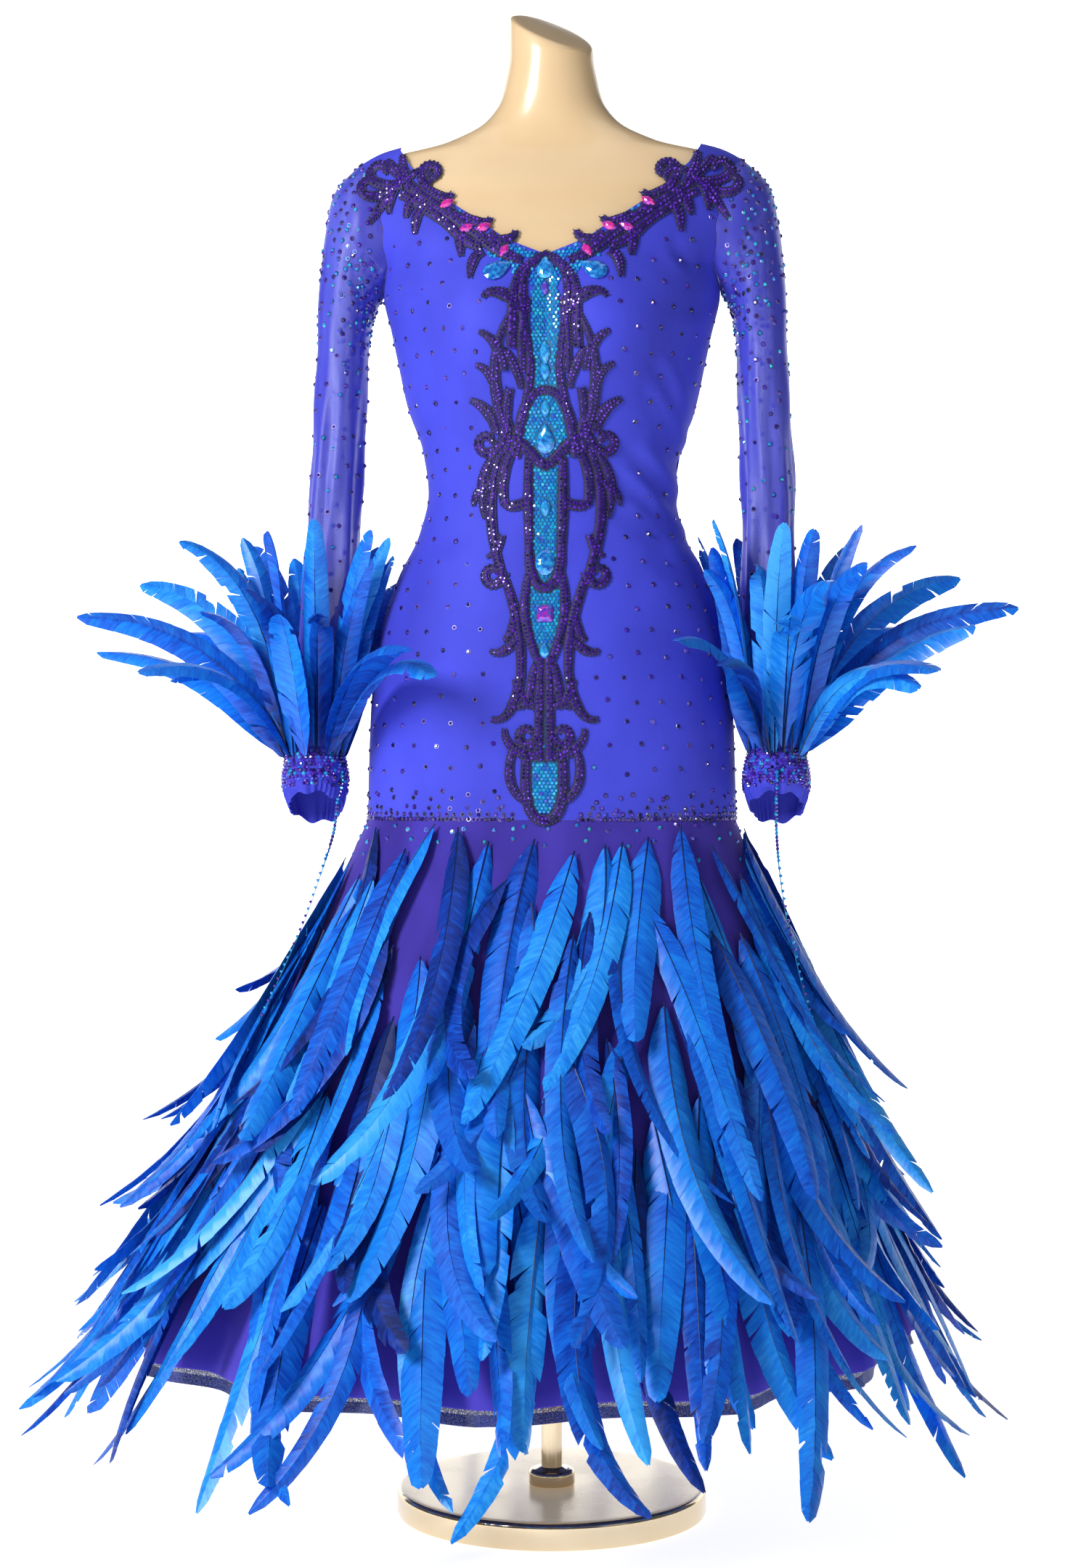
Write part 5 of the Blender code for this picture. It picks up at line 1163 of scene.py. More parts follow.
def build_feathers(name, paths, normals, lengths, widths, dyes, seed, finish):
    """Feathers along their paths: two vanes of barb clusters that split here and there."""
    clusters = BARB_CLUSTERS
    dice = np.random.default_rng(seed)
    total = len(paths)
    tangents = unit(np.gradient(paths, axis=1))
    across = unit(np.cross(tangents, normals))
    normals = unit(np.cross(across, tangents))
    side = np.array([1.0, -1.0])[None, :, None, None, None]
    edge = np.linspace(0.012, 1.0, clusters + 1)
    starts = np.stack([edge[:-1], edge[1:]], -1)[None, None, :, None, :]
    level = np.array([0.0, 0.55, 1.0])[None, None, None, :, None]
    shape = (total, 2, clusters, 3, 2)
    splits = dice.random((total, 2, clusters + 1)) < 0.09
    frayed = (edge[None, None, :] > 0.70) | (edge[None, None, :] < 0.22)
    splits |= (dice.random(splits.shape) < 0.06) & frayed
    opening = splits * dice.uniform(0.12, 0.60, splits.shape)
    gap = np.stack([opening[..., :-1], -opening[..., 1:]], -1)[:, :, :, None, :]
    cluster_span = 1.0 / clusters
    half = widths[:, None, None, None, None] / 2
    profile = curve(VANE_PROFILE, 1, np.broadcast_to(starts, shape))
    ragged = 1 + dice.uniform(-0.03, 0.02, (total, 2, clusters, 1, 2)) * level
    ragged *= 1 - 0.30 * (dice.random((total, 2, clusters, 1, 1)) < 0.03) * level
    reach = half * profile * level * ragged
    lean = 0.95 * level * half * profile / lengths[:, None, None, None, None]
    places = starts + lean + gap * level ** 2 * cluster_span * 0.30
    over = np.maximum(places - 1.0, 0.0) * lengths[:, None, None, None, None]
    here = along_path(paths, places) + along_path(tangents, places) * over[..., None]
    beside = along_path(across, places)
    up = along_path(normals, places)
    camber = dice.uniform(0.06, 0.75, (total, 2, 1, 1, 1)) * level ** 2 * half * profile
    lift = dice.normal(0, 0.00025, (total, 2, clusters, 1, 1)) * level
    middle = here + beside * (side * reach)[..., None] + up * (lift - camber + 0.0002)[..., None]
    thick = VANE_THICKNESS * (1 - 0.5 * level) * np.ones(shape)
    top = middle + up * thick[..., None] / 2
    under = middle - up * thick[..., None] / 2
    points = np.stack([top, under], -2).reshape(-1, 3)

    def corner(level_number, edge_number, under_side):
        return (level_number * 2 + edge_number) * 2 + under_side

    quads = []
    for k in (0, 1):
        quads.append([corner(k, 0, 0), corner(k + 1, 0, 0), corner(k + 1, 1, 0), corner(k, 1, 0)])
        quads.append([corner(k, 1, 1), corner(k + 1, 1, 1), corner(k + 1, 0, 1), corner(k, 0, 1)])
        quads.append([corner(k, 0, 0), corner(k, 0, 1), corner(k + 1, 0, 1), corner(k + 1, 0, 0)])
        quads.append([corner(k, 1, 0), corner(k + 1, 1, 0), corner(k + 1, 1, 1), corner(k, 1, 1)])
    quads.append([corner(2, 0, 0), corner(2, 0, 1), corner(2, 1, 1), corner(2, 1, 0)])
    quads.append([corner(0, 0, 0), corner(0, 1, 0), corner(0, 1, 1), corner(0, 0, 1)])
    quads = np.array(quads)
    patches = np.arange(total * 2 * clusters)
    flipped = (patches // clusters) % 2 == 1
    faces = np.where(flipped[:, None, None], quads[None, :, ::-1], quads[None])
    faces = (faces + patches[:, None, None] * 12).reshape(-1, 4)

    streak = places * lengths[:, None, None, None, None] * 10 - 6.0 * reach
    feather_number = np.arange(total)[:, None, None, None, None]
    vane = np.stack([level + feather_number * 3.7 + 0 * streak, places + 0 * streak,
                     streak + feather_number * 0.9], -1)
    vane = np.repeat(vane.reshape(-1, 3), 2, axis=0)
    shades = dyes[:, None, None, None, None] + dice.normal(0, 0.05, (total, 2, clusters, 1, 1))
    dye = np.repeat(np.broadcast_to(shades, shape).reshape(-1), 2)
    quill = np.zeros(len(dye))

    quill_points, quill_faces, quill_vane, quill_dye = build_quills(
        paths, across, normals, dyes, len(points))
    points = np.concatenate([points, quill_points])
    item = plain_mesh(name, points, faces.tolist() + quill_faces, finish, 40)
    for label, kind, values in (
            ("vane", "FLOAT_VECTOR", np.concatenate([vane, quill_vane])),
            ("dye", "FLOAT", np.concatenate([dye, quill_dye])),
            ("quill", "FLOAT", np.concatenate([quill, np.ones(len(quill_dye))]))):
        carry(item, label, kind, values)
    return item


def surface_frame(turn, share):
    """Points, outward normals, downward and sideways directions on the skirt's crests."""
    here = skirt_surface(turn, share, 1.0)
    below = skirt_surface(turn, share + 0.01, 1.0)
    beside = skirt_surface(turn + 0.01, share, 1.0)
    down = unit(below - here)
    sideways = unit(beside - here)
    return here, unit(np.cross(down, sideways)), down, sideways


def keep_inside(paths, t):
    """Bend feathers whose tips would reach past the gown's room back into it."""
    low = np.array([-0.540, -0.530, 0.060])
    high = np.array([0.495, 0.510, 2.0])
    tips = paths[:, -1:]
    past = np.maximum(tips - high, 0) + np.minimum(tips - low, 0)
    return paths - past * (t ** 2)[..., None]


def make_skirt_feathers(feather):
    """The five tiers of feathers on the skirt, sewn singly at staggered heights."""
    t = np.linspace(0, 1, FEATHER_STATIONS)[None, :]
    for number, (height, count, length, width, root_lift, seed) in enumerate(FEATHER_TIERS, 1):
        dice = np.random.default_rng(seed)
        turn0 = 2 * math.pi * (np.arange(count) + dice.uniform(-0.3, 0.3, count)) / count
        drop = dice.uniform(-0.034, 0.034, count)
        if number == 1:
            drop = dice.uniform(-0.031, 0.030, count)
        roots = (HIP_SEAM - height - drop) / (HIP_SEAM - HEM)
        lengths = length * dice.uniform(0.72, 1.12, count)
        widths = width * dice.uniform(0.62, 1.20, count)
        slope = np.radians(dice.normal(0, 8, count) + 5 * np.sin(3 * turn0 + seed))
        sickle = np.radians(dice.normal(0, 17, count))
        heading = slope[:, None] + sickle[:, None] * (1.5 * t ** 1.5 - 0.35)
        step = lengths[:, None] / (FEATHER_STATIONS - 1)
        fall = np.cumsum(np.cos(heading) * step, axis=1) - np.cos(heading[:, :1]) * step
        drift = np.cumsum(np.sin(heading) * step, axis=1) - np.sin(heading[:, :1]) * step
        slant = math.hypot(HIP_SEAM - HEM, HEM_HALF_WIDTH - 0.19)
        share = roots[:, None] + fall / slant
        radius = 0.17 + 0.21 * np.clip(share, 0, 1.3)
        turn = turn0[:, None] + drift / radius
        here, normal, down, sideways = surface_frame(turn, share)
        spread = np.radians(2.5 + 7.0 * dice.random(count) ** 1.6)[:, None]
        curl = dice.uniform(-0.2, 1.0, count)[:, None] * 0.035
        curl = curl + (dice.random(count) < 0.10)[:, None] * 0.030
        layer = root_lift + dice.uniform(0.0, 0.005, count)[:, None]
        lift = layer + np.tan(spread) * lengths[:, None] * t
        lift = lift + curl * np.clip((t - 0.5) / 0.5, 0, 1) ** 2
        paths = keep_inside(here + normal * lift[..., None], t)
        roll = np.radians(dice.normal(0, 20, count))[:, None, None] + np.zeros_like(lift)[..., None]
        normals = normal * np.cos(roll) + sideways * np.sin(roll)
        dyes = np.clip(dice.normal(0.62, 0.21, count), 0.12, 1.0)
        item = build_feathers(f"skirt_feather_tier_{number}", paths, normals, lengths, widths,
                              dyes, seed, feather)
        place_piece(item, "azure_feather", f"skirt_feathers_{number}")


def make_cuff_feathers(feather):
    """The burst of feathers over each cuff."""
    t = np.linspace(0, 1, FEATHER_STATIONS)[None, :]
    for side_name, side in SIDES:
        dice = np.random.default_rng(31 if side > 0 else 32)
        rows = np.array(CUFF_FEATHERS)
        extra = rows.copy()
        extra[:, 0] += dice.uniform(-13, 13, len(rows))
        extra[:, 1] *= dice.uniform(0.75, 1.05, len(rows))
        extra[:, 2] *= dice.uniform(0.7, 1.3, len(rows))
        extra[:, 3] *= dice.uniform(0.55, 0.95, len(rows))
        extra[:, 4] *= dice.uniform(0.70, 1.0, len(rows))
        rows = np.concatenate([rows, extra])
        rows[:, 0] += dice.uniform(-3, 3, len(rows))
        turn = np.radians(rows[:, :1])
        away = np.stack([np.cos(turn) * side, -np.sin(turn), 0 * turn], -1)
        root = np.stack([
            (WRIST_X[side_name] + 0.0305 * np.cos(turn)) * side,
            WRIST_Y - 0.0330 * np.sin(turn),
            CUFF_ROOT_HEIGHT + dice.uniform(-0.006, 0.004, turn.shape)], -1)
        rise = 2 * t * (1 - t) * rows[:, 1:2] + t * t * rows[:, 3:4]
        reach = 2 * t * (1 - t) * rows[:, 2:3] + t * t * rows[:, 4:5]
        paths = root + away * reach[..., None] + np.array([0, 0, 1]) * rise[..., None]
        tangents = unit(np.gradient(paths, axis=1))
        sideways = np.cross(away, [0, 0, 1.0])
        swing = dice.uniform(-0.016, 0.016, (len(rows), 1, 1)) * (t ** 2)[..., None]
        paths = paths + sideways * swing
        normals = unit(np.cross(np.broadcast_to(sideways, paths.shape), tangents))
        roll = np.radians(dice.normal(0, 16, len(rows)))[:, None, None]
        normals = normals * np.cos(roll) + sideways * np.sin(roll)
        shown = dice.uniform(0.30, 0.95, (len(rows), 1, 1))
        normals = unit(normals * (1 - shown) + np.array([0.0, -1.0, 0.25]) * shown)
        lengths = np.linalg.norm(np.diff(paths, axis=1), axis=-1).sum(axis=1)
        widths = rows[:, 5] * dice.uniform(1.10, 1.50, len(rows))
        dyes = np.clip(dice.normal(0.66, 0.14, len(rows)), 0.2, 0.98)
        item = build_feathers(f"cuff_feather_burst_{side_name}", paths, normals, lengths, widths,
                              dyes, 41 if side > 0 else 42, feather)
        place_piece(item, "azure_feather", f"cuff_feathers_{side_name}")


def bead_finish(name, stops, roughness, coat, grain=900.0, change=0.08):
    """Cut glass or faceted beads whose colour each piece's own share picks."""
    material, tree, shader = new_finish(name, {
        "Roughness": roughness, "Coat Weight": coat, "Coat Roughness": 0.04, "Metallic": 0.25,
        "Specular IOR Level": 0.6,
    })
    share = attribute(tree, "tint")
    cloud = stretched_noise(tree, object_coordinates(tree), grain, (1, 1, 1), 1.0)
    share = added(tree, share, ramp_value(tree, cloud, 0.35, 0.65, -change, change))
    set_colour(tree, shader, share, stops)
    return material


def cord_finish():
    """Black-blue rayon cord with a silky gleam."""
    return plain_finish("twisted cord", {
        "Roughness": 0.38, "Sheen Weight": 0.3, "Sheen Tint": (0.5, 0.5, 1.0, 1.0),
        "Specular IOR Level": 0.5,
    }, (1500.0, (1, 1, 1), 1.0), (
        (0.3, (0.004, 0.003, 0.025)), (0.7, (0.022, 0.014, 0.110)),
    ), (0.4, 0.0003))


def mat_finish(name, dark, light):
    """Closely stitched ground under beads or stones."""
    return plain_finish(name, {"Roughness": 0.55, "Specular IOR Level": 0.4},
                        (1100.0, (1, 1, 1), 2.0), ((0.3, dark), (0.7, light)), (0.5, 0.0004))


def setting_tree(name, shape, finish):
    """Nodes that set one small shape on each point, turned and sized by the point's values."""
    tree = bpy.data.node_groups.new(name, "GeometryNodeTree")
    ports = tree.interface
    ports.new_socket("Places", in_out="INPUT", socket_type="NodeSocketGeometry")
    ports.new_socket("Sides", in_out="INPUT", socket_type="NodeSocketInt")
    ports.new_socket("Table share", in_out="INPUT", socket_type="NodeSocketFloat")
    ports.new_socket("Set pieces", in_out="OUTPUT", socket_type="NodeSocketGeometry")
    entry = tree.nodes.new("NodeGroupInput").outputs
    leave = tree.nodes.new("NodeGroupOutput")
    if shape == "stone":
        form = add(tree, "GeometryNodeMeshCone", {
            "Vertices": entry["Sides"], "Radius Top": entry["Table share"],
            "Radius Bottom": 1.0, "Depth": 1.0,
        }).outputs["Mesh"]
    else:
        ball = add(tree, "GeometryNodeMeshUVSphere", {
            "Segments": entry["Sides"], "Rings": 4, "Radius": entry["Table share"],
        }).outputs["Mesh"]
        form = add(tree, "GeometryNodeSetShadeSmooth", {"Geometry": ball}).outputs[0]

    def carried(label):
        item = add(tree, "GeometryNodeInputNamedAttribute", {"Name": label},
                   data_type="FLOAT_VECTOR")
        return item.outputs["Attribute"]

    upright = add(tree, "FunctionNodeAlignRotationToVector", {"Vector": carried("out")},
                  axis="Z").outputs["Rotation"]
    turned_to = add(tree, "FunctionNodeAlignRotationToVector", {
        "Rotation": upright, "Vector": carried("along"),
    }, axis="X", pivot_axis="Z").outputs["Rotation"]
    placed = add(tree, "GeometryNodeInstanceOnPoints", {
        "Points": entry["Places"], "Instance": form, "Rotation": turned_to,
        "Scale": carried("size"),
    }).outputs["Instances"]
    solid = add(tree, "GeometryNodeRealizeInstances", {"Geometry": placed}).outputs[0]
    finished = add(tree, "GeometryNodeSetMaterial", {"Geometry": solid, "Material": finish})
    tree.links.new(finished.outputs[0], leave.inputs[0])
    return tree


def set_on_points(name, tree, sides, table_share, rows, slot, *nodes):
    """A piece made of one small shape on every row: place, out, along, size, tint."""
    places, outs, alongs, sizes, tints = joined(rows)
    item = plain_mesh(name, places, [], None)
    for label, values in (("out", outs), ("along", alongs), ("size", sizes)):
        carry(item, label, "FLOAT_VECTOR", values)
    carry(item, "tint", "FLOAT", tints)
    setter = item.modifiers.new("setting", "NODES")
    setter.node_group = tree
    values = {"Sides": sides, "Table share": table_share}
    for port in tree.interface.items_tree:
        if port.in_out == "INPUT" and port.name in values:
            setter[port.identifier] = values[port.name]
    bake_modifiers(item)
    place_piece(item, slot, *nodes)


def scroll_path(start_x, start_z, start_heading, end_x, end_z, end_heading, coil):
    """Points along a scroll in metres: a smooth curve between two headings, then a coil."""
    first = np.array([start_x, start_z]) / 1000
    last = np.array([end_x, end_z]) / 1000
    span = np.linalg.norm(last - first)
    reach = span * 1.1
    leave, arrive = (np.array([math.cos(math.radians(h)), math.sin(math.radians(h))])
                     for h in (start_heading, end_heading))
    t = np.linspace(0, 1, max(int(span / 0.0022), 8))[:, None]
    path = between(first, last, leave * reach, arrive * reach, t)
    turns = int(abs(coil) / 12)
    heading = math.radians(end_heading)
    place = last
    coils = []
    for k in range(turns):
        radius = COIL_RADIUS * (1 - (1 - COIL_SHRINK) * (k + 0.5) / turns)
        turn = math.radians(coil) / turns
        heading += turn
        place = place + np.array([math.cos(heading), math.sin(heading)]) * radius * abs(turn)
        coils.append(place)
    return np.concatenate([path, coils]) if coils else path


def mirrored_scrolls(scrolls, sides=(1, -1)):
    """Each scroll's path and widths in metres, on the asked sides."""
    result = []
    for side in sides:
        for scroll in scrolls:
            path = scroll_path(*scroll[:7])
            length = lengths_along(path)
            widths = np.interp(length / length[-1], (0, 0.5, 1), np.array(scroll[7]) / 1000)
            widths = widths * BAND_FULLNESS
            result.append((path * [side, 1], length, widths))
    return result


def cloth_finder(items):
    """A search over the named cloth, to lay beading on its front."""
    points = []
    faces = []
    for item in items:
        first = len(points)
        points += [v.co.copy() for v in item.data.vertices]
        faces += [tuple(first + i for i in polygon.vertices) for polygon in item.data.polygons]
    return BVHTree.FromPolygons(points, faces)


def lay(finder, under, flat, rise):
    """Places and normals on the cloth's front, or on the form beside it, at flat places."""
    flat = np.asarray(flat).reshape(-1, 2)
    rise = np.broadcast_to(np.asarray(rise, float), len(flat))
    places = np.empty((len(flat), 3))
    ahead = Vector((0.0, 1.0, 0.0))
    missed = np.zeros(len(flat), bool)
    hits = np.empty((len(flat), 3))
    for k, (x, z) in enumerate(flat):
        start = Vector((x, -1.0, z))
        hit, normal = finder.ray_cast(start, ahead)[:2]
        if hit is None:
            hit, normal = under.ray_cast(start, ahead)[:2]
            missed[k] = True
        if hit is None or hit.y > 0.03:
            hit, normal = finder.find_nearest(Vector((x, -0.03, z)))[:2]
            missed[k] = False
        places[k] = hit
        hits[k] = normal if normal.y < 0 else -normal
    z = np.maximum(flat[:, 1], HIP_SEAM)
    x = np.abs(flat[:, 0])
    wide = curve(BODY, 1, z)
    smooth = body_surface(z, angle_at(z, x))[1] * np.stack(
        [np.sign(flat[:, 0]) + (flat[:, 0] == 0), np.ones(len(x)), np.ones(len(x))], -1)
    on_body = (z < UNDERARM) | (x < wide * 0.93)
    normals = np.where(on_body[:, None], smooth, hits)
    lifted = rise + np.where(missed, EASE, 0.0)
    return places + normals * lifted[:, None], normals


def band_meshes(name, scrolls, finder, under, finish, slot, *nodes):
    """Domed bands under the beads, one closed strip for each scroll."""
    shares = np.array([-0.5, -0.5, -0.3, 0.0, 0.3, 0.5, 0.5])
    rises = np.array([0.0, 0.0008, 0.0020, BAND_RISE, 0.0020, 0.0008, 0.0])
    points = []
    faces = []
    for number, (path, length, widths) in enumerate(scrolls):
        run = unit(np.gradient(path, axis=0))
        beside = np.stack([-run[:, 1], run[:, 0]], -1)
        flat = path[:, None] + beside[:, None] * (shares[None, :] * widths[:, None])[..., None]
        lift = rises[None, :] * np.minimum(widths[:, None] / 0.008, 1.1) + (number % 4) * 0.00012
        places, normals = lay(finder, under, flat.reshape(-1, 2), (lift + MOTIF_LIFT).reshape(-1))
        first = sum(len(part) for part in points)
        points.append(places)
        strip = grid_faces(len(path), 7, True) + first
        faces += strip.tolist()
        faces.append([first + k for k in range(7)][::-1])
        faces.append([first + (len(path) - 1) * 7 + k for k in range(7)])
    item = plain_mesh(name, np.concatenate(points), faces, finish)
    tidy_mesh(item, 0.000001, True)
    item.data.shade_smooth()
    item.data.set_sharp_from_angle(angle=math.radians(50))
    place_piece(item, slot, *nodes)


def along_scroll(path, length, at, offset):
    """Flat places at lengths along a scroll and beside its middle, and the heading there."""
    middle = np.stack([np.interp(at, length, path[:, k]) for k in (0, 1)], -1)
    run = unit(np.gradient(path, axis=0))
    run = unit(np.stack([np.interp(at, length, run[:, k]) for k in (0, 1)], -1))
    beside = np.stack([-run[:, 1], run[:, 0]], -1)
    return middle + beside * np.asarray(offset)[:, None], run


def set_rows(finder, under, flat, run, rise, sizes, tints, twist=0.0):
    """Rows for set_on_points at flat places with flat headings."""
    places, outs = lay(finder, under, flat, rise)
    outs = unit(outs + np.random.default_rng(len(flat)).normal(0, STONE_TILT, outs.shape))
    along = np.stack([run[:, 0], np.zeros(len(run)), run[:, 1]], -1)
    along = unit(along - outs * (along * outs).sum(-1, keepdims=True))
    beside = np.cross(outs, along)
    along = along * math.cos(twist) + beside * math.sin(twist)
    return places, outs, along, sizes, tints


def scroll_beads(scrolls, finder, under, dice):
    """Rows of faceted beads along every scroll, two abreast where it is wide."""
    rows = []
    for path, length, widths in scrolls:
        for lane in (-1, 1):
            at = np.arange(BEAD_STEP * (0.5 + 0.25 * lane), length[-1], BEAD_STEP)
            wide = np.interp(at, length, widths)
            double = wide > 0.0062
            keep = double | (lane > 0)
            at, wide, double = at[keep], wide[keep], double[keep]
            offset = np.where(double, lane * 0.205 * wide, 0.0)
            size = np.where(double, np.minimum(wide * 0.205, 0.0019), np.minimum(wide * 0.27, 0.0017))
            flat, run = along_scroll(path, length, at, offset)
            rise = MOTIF_LIFT + 0.0013 * np.minimum(wide / 0.008, 1.1)
            sizes = np.stack([size, size, size * 1.15], -1)
            tints = np.clip(dice.normal(0.45, 0.24, len(at)), 0, 1)
            rows.append(set_rows(finder, under, flat, run, rise, sizes, tints, dice.uniform(0, 1)))
    return rows


def scroll_cords(scrolls, finder, under):
    """Slanted strands of the twisted cord along both edges of every scroll."""
    rows = []
    for path, length, widths in scrolls:
        for lane in (-1, 1):
            at = np.arange(0.0, length[-1], CORD_STEP)
            wide = np.interp(at, length, widths)
            flat, run = along_scroll(path, length, at, lane * (wide * 0.5 - 0.0003))
            count = len(at)
            sizes = np.broadcast_to([0.0029, 0.00088, 0.00098], (count, 3))
            rows.append(set_rows(finder, under, flat, run, MOTIF_LIFT + 0.0009, sizes,
                                 np.full(count, 0.5), math.radians(28)))
    return rows


def distance_to_scrolls(flat, scrolls):
    """How far flat places lie outside the nearest band."""
    nearest = np.full(len(flat), 1.0)
    for path, length, widths in scrolls:
        gaps = np.linalg.norm(flat[:, None] - path[None, ::2], axis=-1) - widths[None, ::2] / 2
        nearest = np.minimum(nearest, gaps.min(axis=1))
    return nearest


def hexagonal(x_low, x_high, z_low, z_high, step):
    """Places of a close-packed pattern in a rectangle."""
    rows = np.arange(z_low, z_high, step * 0.866)
    columns = np.arange(x_low, x_high, step)
    x, z = np.meshgrid(columns, rows)
    x = x + (np.arange(len(rows)) % 2)[:, None] * step / 2
    return np.stack([x.ravel(), z.ravel()], -1)


def ground_places(dice, scrolls):
    """Flat places of the small stones between the centre scrolls and under the neckline."""
    flat = hexagonal(-0.030, 0.0301, 0.733, 1.292, GROUND_STEP)
    inside = np.abs(flat[:, 0]) < line(CENTRE_GROUND, flat[:, 1]) + 0.0015
    neck = hexagonal(-0.108, 0.1081, 1.262, 1.375, GROUND_STEP)
    edge = np.interp(np.abs(neck[:, 0]), [row[1] for row in FRONT_NECKLINE],
                     [row[0] for row in FRONT_NECKLINE])
    band = 0.036 - 0.16 * np.maximum(np.abs(neck[:, 0]) - 0.025, 0.0)
    under_edge = (neck[:, 1] < edge - 0.0012) & (neck[:, 1] > edge - band)
    flat = np.concatenate([flat[inside], neck[under_edge]])
    flat = flat + dice.normal(0, 0.00016, flat.shape)
    keep = distance_to_scrolls(flat, scrolls) > 0.0009
    for outline, x, z, half_length, half_width, tilt, tint in mirrored_stones():
        lean = math.radians(tilt)
        across = (flat[:, 0] - x) * math.cos(lean) + (flat[:, 1] - z) * math.sin(lean)
        up = -(flat[:, 0] - x) * math.sin(lean) + (flat[:, 1] - z) * math.cos(lean)
        keep &= (across / (half_width + 0.001)) ** 2 + (up / (half_length + 0.001)) ** 2 > 1
    return flat[keep]


def mirrored_stones():
    """The large stones of both sides."""
    stones = []
    for outline, x, z, half_length, half_width, tilt, tint in LARGE_STONES:
        for side in ((1, -1) if x else (1,)):
            stones.append((outline, x * side, z, half_length, half_width, -tilt * side, tint))
    return stones


def stone_outline(kind, half_length, half_width, count=14):
    """Across and up places round a cut stone's edge, from its top."""
    angle = 2 * math.pi * (np.arange(count) + (0.5 if kind in ("square", "oval") else 0.0)) / count
    up = np.cos(angle)
    side = np.sign(np.sin(angle))
    if kind == "navette":
        across = side * (1 - up ** 2) ** 0.85
    elif kind == "pear":
        across = side * np.sqrt(np.clip(1 - up ** 2, 0, 1)) * (1 - 0.46 * up - 0.20 * up * up)
        across = across / np.abs(across).max()
    elif kind == "square":
        across, up = (side * np.abs(np.sin(angle)) ** 0.35, np.sign(up) * np.abs(up) ** 0.35)
    else:
        across = np.sin(angle)
    return across * half_width, up * half_length


def make_large_stones(finder, under, finish):
    """The large cut stones: a thin edge, two rows of facets and a flat table."""
    count = 14
    points = []
    faces = []
    tints = []
    for kind, x, z, half_length, half_width, tilt, tint in mirrored_stones():
        centre, normal = lay(finder, under, [(x, z)], MOTIF_LIFT + 0.0006)
        centre, normal = centre[0], normal[0]
        lean = math.radians(tilt)
        up_way = np.array([0, 0, 1.0]) - normal * normal[2]
        up_way = up_way / np.linalg.norm(up_way)
        across_way = np.cross(up_way, -normal)
        across_way, up_way = (across_way * math.cos(lean) + up_way * math.sin(lean),
                              up_way * math.cos(lean) - across_way * math.sin(lean))
        across, up = stone_outline(kind, half_length, half_width, count)
        first = len(points)
        for size, level, shift in ((1.0, 0.0, 0), (1.0, 0.0013, 0), (0.76, 0.0031, 1),
                                   (0.46, 0.0042, 0)):
            ring_across = across if shift == 0 else (across + np.roll(across, -1)) / 2
            ring_up = up if shift == 0 else (up + np.roll(up, -1)) / 2
            for a, u in zip(ring_across * size, ring_up * size):
                points.append(centre + across_way * a + up_way * u + normal * level)
        for k in range(count):
            after = (k + 1) % count
            faces.append([first + k, first + after, first + count + after, first + count + k])
        girdle, star, table = (first + count * k for k in (1, 2, 3))
        for k in range(count):
            after = (k + 1) % count
            faces.append([girdle + k, girdle + after, star + k])
            faces.append([girdle + after, star + after, star + k])
            faces.append([star + k, star + after, table + after])
            faces.append([star + k, table + after, table + k])
        faces.append([table + k for k in range(count)])
        faces.append([first + k for k in range(count)][::-1])
        tints += [tint] * (4 * count)
    item = plain_mesh("large_cut_stones", points, faces, finish)
    carry(item, "tint", "FLOAT", tints)
    shape = bmesh.new()
    shape.from_mesh(item.data)
    bmesh.ops.recalc_face_normals(shape, faces=shape.faces)
    shape.to_mesh(item.data)
    shape.free()
    place_piece(item, "aqua_stones")


def make_ground(finder, under, finish):
    """The stitched cloth under the small stones of the centre."""
    heights = np.linspace(CENTRE_GROUND[0][0], CENTRE_GROUND[-1][0], 120)
    shares = np.linspace(-1, 1, 9)
    flat = np.stack([line(CENTRE_GROUND, heights)[:, None] * shares[None, :],
                     np.broadcast_to(heights[:, None], (120, 9))], -1)
    places = lay(finder, under, flat.reshape(-1, 2), 0.0008)[0]
    item = plain_mesh("centre_ground_cloth", places, grid_faces(120, 9), finish)
    finish_cloth(item, 0.0005)
    place_piece(item, "aqua_stones", "centre_ground")


def body_grid(z, step, phase):
    """Turns at even steps round the body at a height."""
    turns = np.linspace(0, 2 * math.pi, 721)
    places = body_surface(z, turns)[0]
    length = lengths_along(places)
    count = int(length[-1] / step)
    at = (np.arange(count) + phase) * length[-1] / count
    return np.interp(at, length, turns)


def scattered_places(dice, scrolls):
    """Places, normals and tints of the single stones on the bodice, all round."""
    found = []
    heights = list(np.arange(0.752, 1.40, 0.0235))
    for number, z in enumerate(heights):
        turns = body_grid(z, 0.0285, 0.25 + 0.5 * (number % 2))
        turns = turns + dice.normal(0, 0.018, len(turns))
        level = z + dice.normal(0, 0.0022, len(turns))
        point, normal = body_surface(level, turns)
        folded = np.abs(np.arctan2(np.abs(np.sin(turns)), np.abs(np.cos(turns))))
        front = np.cos(turns) > 0
        keep = np.where(front, np.abs(point[:, 0]) > line(MOTIF_REACH, level) + 0.004, True)
        last = armhole_angle(level)
        keep &= (level < UNDERARM - 0.002) | (level > 1.2721) & (folded < last - 0.03)
        neck = np.where(front, line(FRONT_NECKLINE, level), line(BACK_NECKLINE, level))
        margin = np.where(front, 0.018, 0.008)
        opened = level > np.where(front, FRONT_NECKLINE[0][0] - 0.02, BACK_NECKLINE[0][0] - 0.004)
        keep &= ~opened | (np.abs(point[:, 0]) > neck + margin)
        flat = point[:, [0, 2]]
        keep &= ~front | (distance_to_scrolls(flat, scrolls) > 0.004)
        point = point + normal * np.asarray(ease_at(level) + CLOTH - 0.0001)[:, None]
        tints = np.clip(dice.normal(0.34, 0.16, keep.sum()), 0, 1)
        found.append((point[keep], normal[keep], tints))
    return joined(found)


